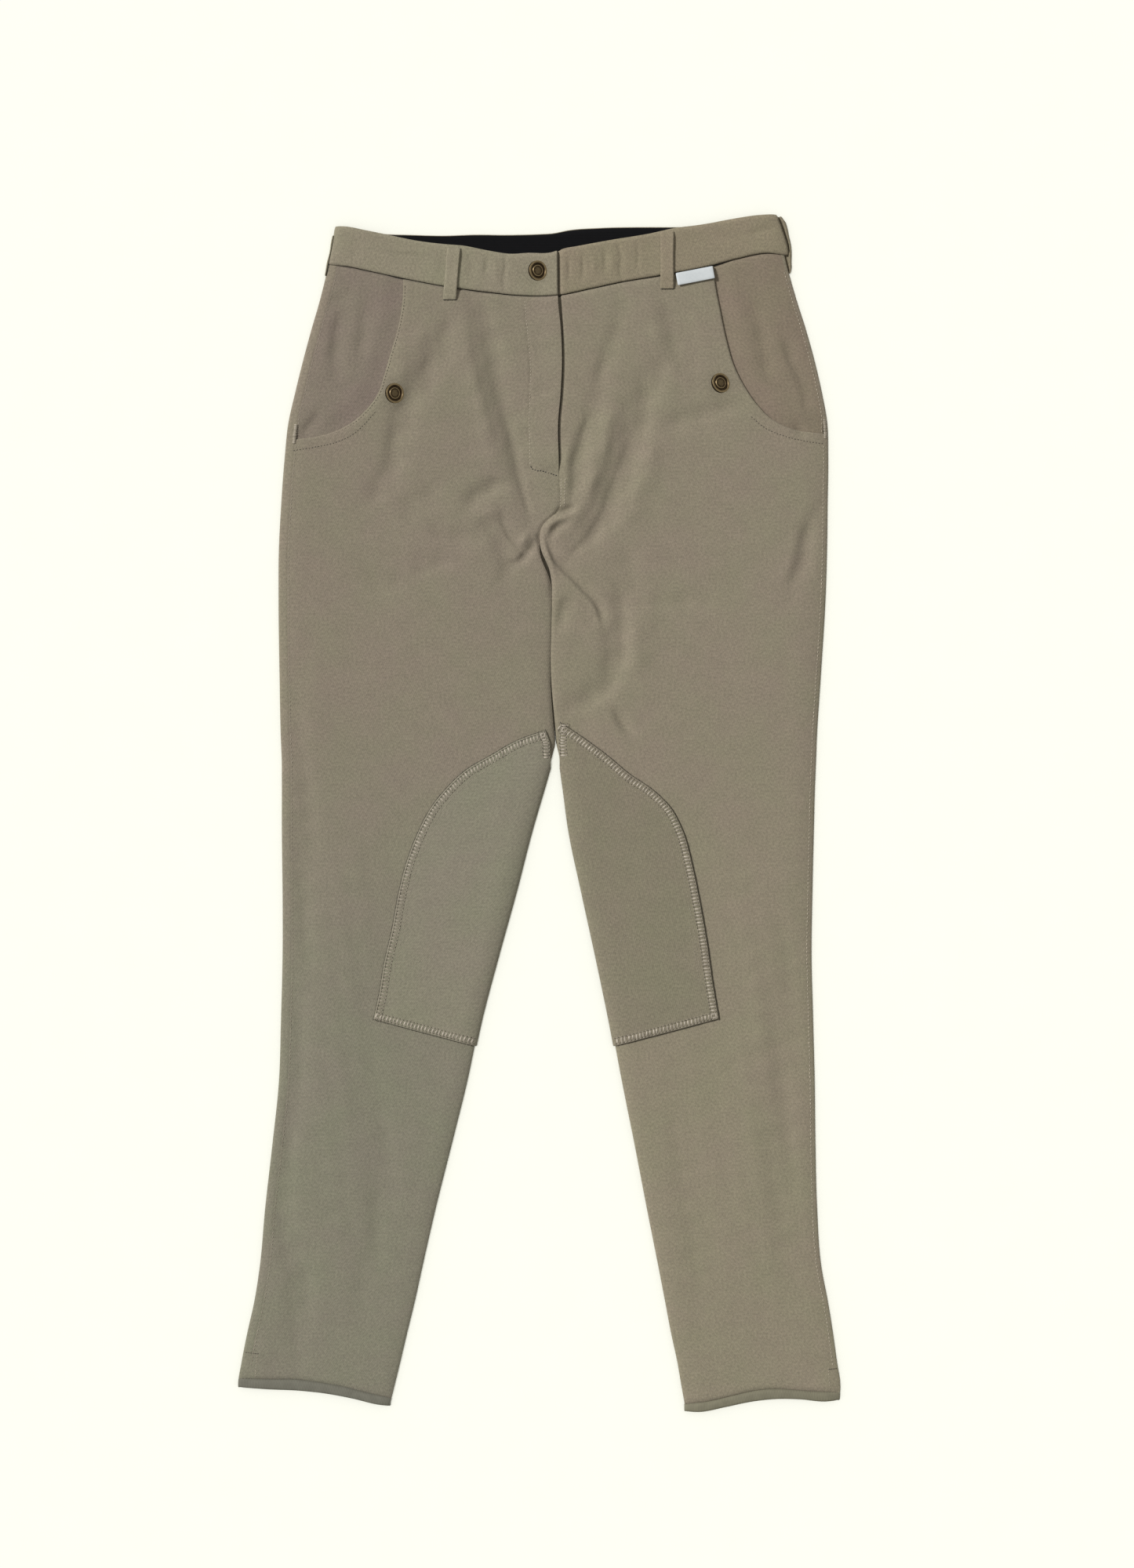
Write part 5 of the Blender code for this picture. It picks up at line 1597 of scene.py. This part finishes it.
def cotton_twill(name, main, lower_colour, worn=0.8):
    material, tree, shader = new_material(name)
    place = add(tree, "ShaderNodeUVMap", {"uv_map": "cloth"}).outputs["UV"]
    broad = add(tree, "ShaderNodeTexNoise", Vector=place, Scale=17.0, Detail=5.0, Roughness=0.62)
    cloud = add(tree, "ShaderNodeTexNoise", Vector=place, Scale=70.0, Detail=4.0, Roughness=0.65)
    grain = add(tree, "ShaderNodeTexNoise", Vector=place, Scale=560.0, Detail=2.0, Roughness=0.6)
    turned = add(tree, "ShaderNodeMapping", Vector=place, Rotation=(0, 0, math.radians(27)))
    ribs = add(tree, "ShaderNodeTexWave", {"wave_type": "BANDS", "bands_direction": "X"},
               Vector=turned.outputs[0], Scale=wave_scale(1.5), Distortion=1.2, Detail=2.0,
               Detail_Scale=1.5)
    hues = []
    for colour in (main, lower_colour):
        hue = add(tree, "ShaderNodeValToRGB", Fac=broad.outputs["Fac"])
        hue.color_ramp.elements[0].position = 0.36
        hue.color_ramp.elements[0].color = linear(shifted(colour, 1, -1, 1))
        hue.color_ramp.elements[1].position = 0.64
        hue.color_ramp.elements[1].color = linear(shifted(colour, -1, 1, -1))
        hue.color_ramp.elements.new(0.5).color = linear(colour)
        hues.append(hue.outputs["Color"])
    # Toward the hem the colour turns to a second one, matched to the lower leg's tone.
    down = add(tree, "ShaderNodeSeparateXYZ", Vector=place).outputs["Y"]
    fade = add(tree, "ShaderNodeMapRange", {"interpolation_type": "SMOOTHSTEP"}, Value=down,
               From_Min=-0.36, From_Max=-0.72)
    hue = add(tree, "ShaderNodeMix", {"data_type": "RGBA"}, _0=fade.outputs[0], _6=hues[0], _7=hues[1])
    spots = add(tree, "ShaderNodeMapRange", Value=cloud.outputs["Fac"], From_Min=0.3, From_Max=0.7,
                To_Min=0.955, To_Max=1.045)
    speck = add(tree, "ShaderNodeMapRange", Value=grain.outputs["Fac"], From_Min=0.25, From_Max=0.75,
                To_Min=0.79, To_Max=1.21)
    rib_shade = add(tree, "ShaderNodeMapRange", Value=ribs.outputs["Fac"], To_Min=0.965, To_Max=1.03)
    shade = add(tree, "ShaderNodeMath", {"operation": "MULTIPLY"}, _0=spots.outputs[0],
                _1=speck.outputs[0])
    shade = add(tree, "ShaderNodeMath", {"operation": "MULTIPLY"}, _0=shade.outputs[0],
                _1=rib_shade.outputs[0])
    coloured = add(tree, "ShaderNodeVectorMath", {"operation": "SCALE"}, _0=hue.outputs[2],
                   Scale=shade.outputs[0])
    tree.links.new(coloured.outputs[0], shader.inputs["Base Color"])
    rough = add(tree, "ShaderNodeMapRange", Value=grain.outputs["Fac"], To_Min=worn, To_Max=0.95)
    tree.links.new(rough.outputs[0], shader.inputs["Roughness"])
    height = add(tree, "ShaderNodeMath", {"operation": "MULTIPLY_ADD"}, _0=grain.outputs["Fac"], _1=0.8,
                 _2=ribs.outputs["Fac"])
    bump = add(tree, "ShaderNodeBump", Height=height.outputs[0], Strength=0.35, Distance=0.00012)
    tree.links.new(bump.outputs[0], shader.inputs["Normal"])
    shader.inputs["Sheen Weight"].default_value = 0.12
    shader.inputs["Sheen Roughness"].default_value = 0.6
    shader.inputs["Specular IOR Level"].default_value = 0.25
    return material


MATERIALS = {
    "twill_right": cotton_twill("cotton_twill_khaki", "#827968", "#7d7968"),
    "twill_left": cotton_twill("cotton_twill_khaki_warm", "#847b69", "#867e6a"),
    "band_right": cotton_twill("cotton_twill_band", "#87806c", "#87806c"),
    "band_left": cotton_twill("cotton_twill_band_warm", "#857b66", "#857b66"),
    "patch_right": cotton_twill("cotton_twill_patch", "#827d6c", "#827d6b"),
    "patch_left": cotton_twill("cotton_twill_patch_warm", "#7d7663", "#7e7764"),
    "inset_right": cotton_twill("cotton_twill_reverse", "#7d7265", "#7d7265"),
    "inset_left": cotton_twill("cotton_twill_reverse_warm", "#7e7261", "#7e7261"),
}
print("twill finishes:", sorted(MATERIALS))

# %% Black knit facing
# Nylon knit with a dull face: nearly black, with a soft bloom, and fine rows of loops 1.2 mm apart,
# drawn coarser than the real 0.6 mm so that they show.
def nylon_knit():
    material, tree, shader = new_material("nylon_knit_black")
    place = add(tree, "ShaderNodeUVMap", {"uv_map": "cloth"}).outputs["UV"]
    rows = add(tree, "ShaderNodeTexWave", {"bands_direction": "Y"}, Vector=place,
               Scale=wave_scale(1.2), Distortion=0.6)
    fluff = add(tree, "ShaderNodeTexNoise", Vector=place, Scale=260.0, Detail=3.0)
    mix = add(tree, "ShaderNodeMath", {"operation": "MULTIPLY"}, _0=rows.outputs["Fac"],
              _1=fluff.outputs["Fac"])
    tone = add(tree, "ShaderNodeValToRGB", Fac=mix.outputs[0])
    tone.color_ramp.elements[0].color = linear("#050506")
    tone.color_ramp.elements[1].color = linear("#100f12")
    tree.links.new(tone.outputs["Color"], shader.inputs["Base Color"])
    bump = add(tree, "ShaderNodeBump", Height=mix.outputs[0], Strength=0.4, Distance=0.0002)
    tree.links.new(bump.outputs[0], shader.inputs["Normal"])
    shader.inputs["Roughness"].default_value = 0.9
    shader.inputs["Specular IOR Level"].default_value = 0.15
    shader.inputs["Sheen Weight"].default_value = 0.05
    return material


MATERIALS["facing_black"] = nylon_knit()
print("facing is", MATERIALS["facing_black"].name)

# %% Hem binding
# Elastic rib tape in grey green: upright ribs 1.3 mm apart, a little duller than the twill.
def rib_tape(name, low, high):
    material, tree, shader = new_material(name)
    place = add(tree, "ShaderNodeUVMap", {"uv_map": "cloth"}).outputs["UV"]
    ribs = add(tree, "ShaderNodeTexWave", {"bands_direction": "X"}, Vector=place,
               Scale=wave_scale(1.3), Distortion=0.5)
    cloud = add(tree, "ShaderNodeTexNoise", Vector=place, Scale=140.0, Detail=4.0)
    mix = add(tree, "ShaderNodeMath", {"operation": "MULTIPLY_ADD"}, _0=ribs.outputs["Fac"], _1=0.35,
              _2=cloud.outputs["Fac"])
    tone = add(tree, "ShaderNodeValToRGB", Fac=mix.outputs[0])
    tone.color_ramp.elements[0].position = 0.3
    tone.color_ramp.elements[0].color = linear(low)
    tone.color_ramp.elements[1].position = 0.95
    tone.color_ramp.elements[1].color = linear(high)
    tree.links.new(tone.outputs["Color"], shader.inputs["Base Color"])
    bump = add(tree, "ShaderNodeBump", Height=ribs.outputs["Fac"], Strength=0.5, Distance=0.0002)
    tree.links.new(bump.outputs[0], shader.inputs["Normal"])
    shader.inputs["Roughness"].default_value = 0.88
    shader.inputs["Specular IOR Level"].default_value = 0.25
    return material


MATERIALS["binding_right"] = rib_tape("elastic_rib_tape", "#67655a", "#767468")
MATERIALS["binding_left"] = rib_tape("elastic_rib_tape_warm", "#6f6b5a", "#7f7b68")
print("binding is", MATERIALS["binding_right"].name)

# %% White tab
# Woven satin ribbon, white with a cold tinge, with threads 0.8 mm apart and a faint gloss.
def satin_ribbon():
    material, tree, shader = new_material("satin_ribbon_white")
    place = add(tree, "ShaderNodeUVMap", {"uv_map": "cloth"}).outputs["UV"]
    threads = add(tree, "ShaderNodeTexWave", {"bands_direction": "Y"}, Vector=place,
                  Scale=wave_scale(0.8), Distortion=0.3)
    cloud = add(tree, "ShaderNodeTexNoise", Vector=place, Scale=400.0, Detail=3.0)
    mix = add(tree, "ShaderNodeMath", {"operation": "MULTIPLY"}, _0=threads.outputs["Fac"],
              _1=cloud.outputs["Fac"])
    tone = add(tree, "ShaderNodeValToRGB", Fac=mix.outputs[0])
    tone.color_ramp.elements[0].color = linear("#bdc2c4")
    tone.color_ramp.elements[1].color = linear("#d3d6d5")
    tree.links.new(tone.outputs["Color"], shader.inputs["Base Color"])
    bump = add(tree, "ShaderNodeBump", Height=threads.outputs["Fac"], Strength=0.3, Distance=0.0001)
    tree.links.new(bump.outputs[0], shader.inputs["Normal"])
    shader.inputs["Roughness"].default_value = 0.6
    return material


MATERIALS["label_white"] = satin_ribbon()
print("tab is", MATERIALS["label_white"].name)

# %% Sewing thread
# Polyester core-spun thread, about 0.4 mm thick: a soft shine, and a little lighter and darker from
# one stitch to the next.
def core_spun_thread(name, light, dark):
    material, tree, shader = new_material(name)
    place = add(tree, "ShaderNodeTexCoord").outputs["Object"]
    turns = add(tree, "ShaderNodeTexNoise", Vector=place, Scale=330.0, Detail=2.0)
    tone = add(tree, "ShaderNodeValToRGB", Fac=turns.outputs["Fac"])
    tone.color_ramp.elements[0].position = 0.35
    tone.color_ramp.elements[0].color = linear(dark)
    tone.color_ramp.elements[1].position = 0.65
    tone.color_ramp.elements[1].color = linear(light)
    tree.links.new(tone.outputs["Color"], shader.inputs["Base Color"])
    shader.inputs["Roughness"].default_value = 0.55
    shader.inputs["Sheen Weight"].default_value = 0.1
    return material


MATERIALS["thread"] = core_spun_thread("core_spun_thread_beige", "#b3a894", "#968c7a")
MATERIALS["thread_patch"] = core_spun_thread("core_spun_thread_flax", "#b2a898", "#8a8172")
MATERIALS["thread_faint"] = core_spun_thread("core_spun_thread_khaki", "#9c9282", "#857c6b")
# The brown thread is dark thread at the pockets; at the needle holes, beside the patches and in the hem ditch
# it is painted shade.
MATERIALS["thread_dark"] = core_spun_thread("core_spun_thread_brown", "#5c5446", "#463f34")
# Near-black thread used as painted shadow: in the waist seam's ditch, under the front loops' ends and along
# the fly's foot.
MATERIALS["thread_shade"] = core_spun_thread("core_spun_thread_dark_brown", "#28221a", "#1c1711")
print("threads are ready")

# %% Antique brass
# Stamped brass, blackened and rubbed back: dark brown in the hollows, with dull gold where hands
# have polished it.
def antique_brass(name, hollow, rubbed):
    material, tree, shader = new_material(name)
    place = add(tree, "ShaderNodeTexCoord").outputs["Object"]
    stain = add(tree, "ShaderNodeTexNoise", Vector=place, Scale=520.0, Detail=5.0, Roughness=0.7)
    edges = add(tree, "ShaderNodeNewGeometry")
    worn = add(tree, "ShaderNodeMapRange", Value=edges.outputs["Pointiness"], From_Min=0.485,
               From_Max=0.56)
    rub = add(tree, "ShaderNodeMath", {"operation": "MULTIPLY_ADD"}, _0=stain.outputs["Fac"], _1=0.5,
              _2=worn.outputs[0])
    tone = add(tree, "ShaderNodeValToRGB", Fac=rub.outputs[0])
    tone.color_ramp.elements[0].position = 0.25
    tone.color_ramp.elements[0].color = linear(hollow)
    tone.color_ramp.elements[1].position = 0.95
    tone.color_ramp.elements[1].color = linear(rubbed)
    tree.links.new(tone.outputs["Color"], shader.inputs["Base Color"])
    rough = add(tree, "ShaderNodeMapRange", Value=stain.outputs["Fac"], To_Min=0.3, To_Max=0.6)
    tree.links.new(rough.outputs[0], shader.inputs["Roughness"])
    bump = add(tree, "ShaderNodeBump", Height=stain.outputs["Fac"], Strength=0.2, Distance=0.0001)
    tree.links.new(bump.outputs[0], shader.inputs["Normal"])
    shader.inputs["Metallic"].default_value = 0.9
    return material


MATERIALS["antique_brass"] = antique_brass("brass_antiqued", "#3a2d1e", "#a8946f")
# A near-black brass for the buttons' walls and undersides: painted shade of their sides and undersides.
MATERIALS["brass_wall"] = antique_brass("brass_blackened", "#1a140d", "#3a2f22")
print("buttons are", MATERIALS["antique_brass"].name)

# %% Dress every piece
for name, piece in PIECES.items():
    piece.data.materials.clear()
    piece.data.materials.append(MATERIALS[FINISH[name]])
for name in BUTTONS:
    metal = PIECES["metal_button_" + name].data
    metal.materials.append(MATERIALS["brass_wall"])
    for i in PAINTED_SHADE_FACES:
        metal.polygons[i].material_index = 1
CARRIED = {"cloth_front_right": ["stitch_fly", "stitch_fly_end"], "cloth_front_left": [],
           "cloth_waistband_front_right": ["metal_button_waist"]}
for leg in LEGS:
    CARRIED["cloth_back_" + leg.name] = ["stitch_hip_" + leg.name]
    CARRIED["cloth_front_" + leg.name].append("metal_button_pocket_" + leg.name)
    for seam in ("patch", "patch_ends", "patch_shade_dots", "marks", "side", "pocket", "tack", "ankle",
                 "waist", "hem"):
        CARRIED["cloth_front_" + leg.name].append("stitch_" + seam + "_" + leg.name)
print("pieces dressed:", len(PIECES))

# %% [markdown]
# ## Floor, light and camera
#
# The garment was photographed from straight above and cut out on white, so the floor is plain and
# nearly white. A large soft lamp stands at the upper left, because the folds and loops are dark on
# their right and lower sides, and a pale sky fills the rest.

# %% Floor
bpy.ops.object.select_all(action="DESELECT")
bpy.ops.mesh.primitive_plane_add(size=8.0, location=(0, 0, 0))
floor = bpy.context.object
floor.name = "floor"
floor.data.transform(Matrix.Translation((0, 0, -0.0004)))
paper, tree, shader = new_material("matt_paper")
fibres = add(tree, "ShaderNodeTexNoise", Vector=add(tree, "ShaderNodeTexCoord").outputs["Object"],
             Scale=30.0, Detail=2.0)
tone = add(tree, "ShaderNodeValToRGB", Fac=fibres.outputs["Fac"])
tone.color_ramp.elements[0].color = linear("#fafaf0")
tone.color_ramp.elements[1].color = linear("#fcfcf2")
tree.links.new(tone.outputs["Color"], shader.inputs["Base Color"])
shader.inputs["Roughness"].default_value = 0.95
shader.inputs["Specular IOR Level"].default_value = 0.0
floor.data.materials.append(paper)
print("floor is in place")

# %% Light
sky = bpy.data.worlds.new("sky")
bpy.context.scene.world = sky
sky.use_nodes = True
sky.node_tree.nodes["Background"].inputs["Color"].default_value = (1.0, 0.995, 0.965, 1)
sky.node_tree.nodes["Background"].inputs["Strength"].default_value = 0.41


def add_sun(name, toward, strength, width_degrees, lit, casting=None):
    """Far, even light from a direction, which lights the given objects, past all that casts nothing."""
    sun_data = bpy.data.lights.new(name, "SUN")
    sun_data.energy = strength
    sun_data.angle = math.radians(width_degrees)
    sun = bpy.data.objects.new(name, sun_data)
    sun.rotation_euler = Vector(toward).to_track_quat("Z", "Y").to_euler()
    bpy.context.scene.collection.objects.link(sun)
    lights = bpy.data.collections.new(name + "_lights")
    for shape in lit:
        lights.objects.link(shape)
    sun.light_linking.receiver_collection = lights
    if casting:
        blocks = bpy.data.collections.new(name + "_blocks")
        for shape in casting:
            blocks.objects.link(shape)
        sun.light_linking.blocker_collection = blocks
    return sun


cloth = [piece for name, piece in PIECES.items() if not name.startswith("metal_")]
add_sun("soft_key", (-0.82, 0.45, 0.76), 3.20, 11, list(PIECES.values()), cloth)
add_sun("table_light", (-0.10, 0.05, 1.0), 2.04, 30, [floor])
bpy.context.scene.view_settings.view_transform = "Standard"

# %% Camera
camera_data = bpy.data.cameras.new("camera")
camera_data.sensor_fit = "VERTICAL"
camera_data.sensor_height = 36.0
camera_data.lens = 85.0
camera = bpy.data.objects.new("camera", camera_data)
VIEW_HEIGHT = 1.280
camera.location = (0.0230 + SHIFT_X, 0.0240 + SHIFT_Y, 0.005 + VIEW_HEIGHT * 85.0 / 36.0)
bpy.context.scene.collection.objects.link(camera)
bpy.context.scene.camera = camera
print("camera height:", round(camera.location.z, 3), "m")

# %% Size of the dressed model
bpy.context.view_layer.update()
triangles = sum(len(p.vertices) - 2 for piece in PIECES.values() for p in piece.data.polygons)
print("triangles added:", triangles)
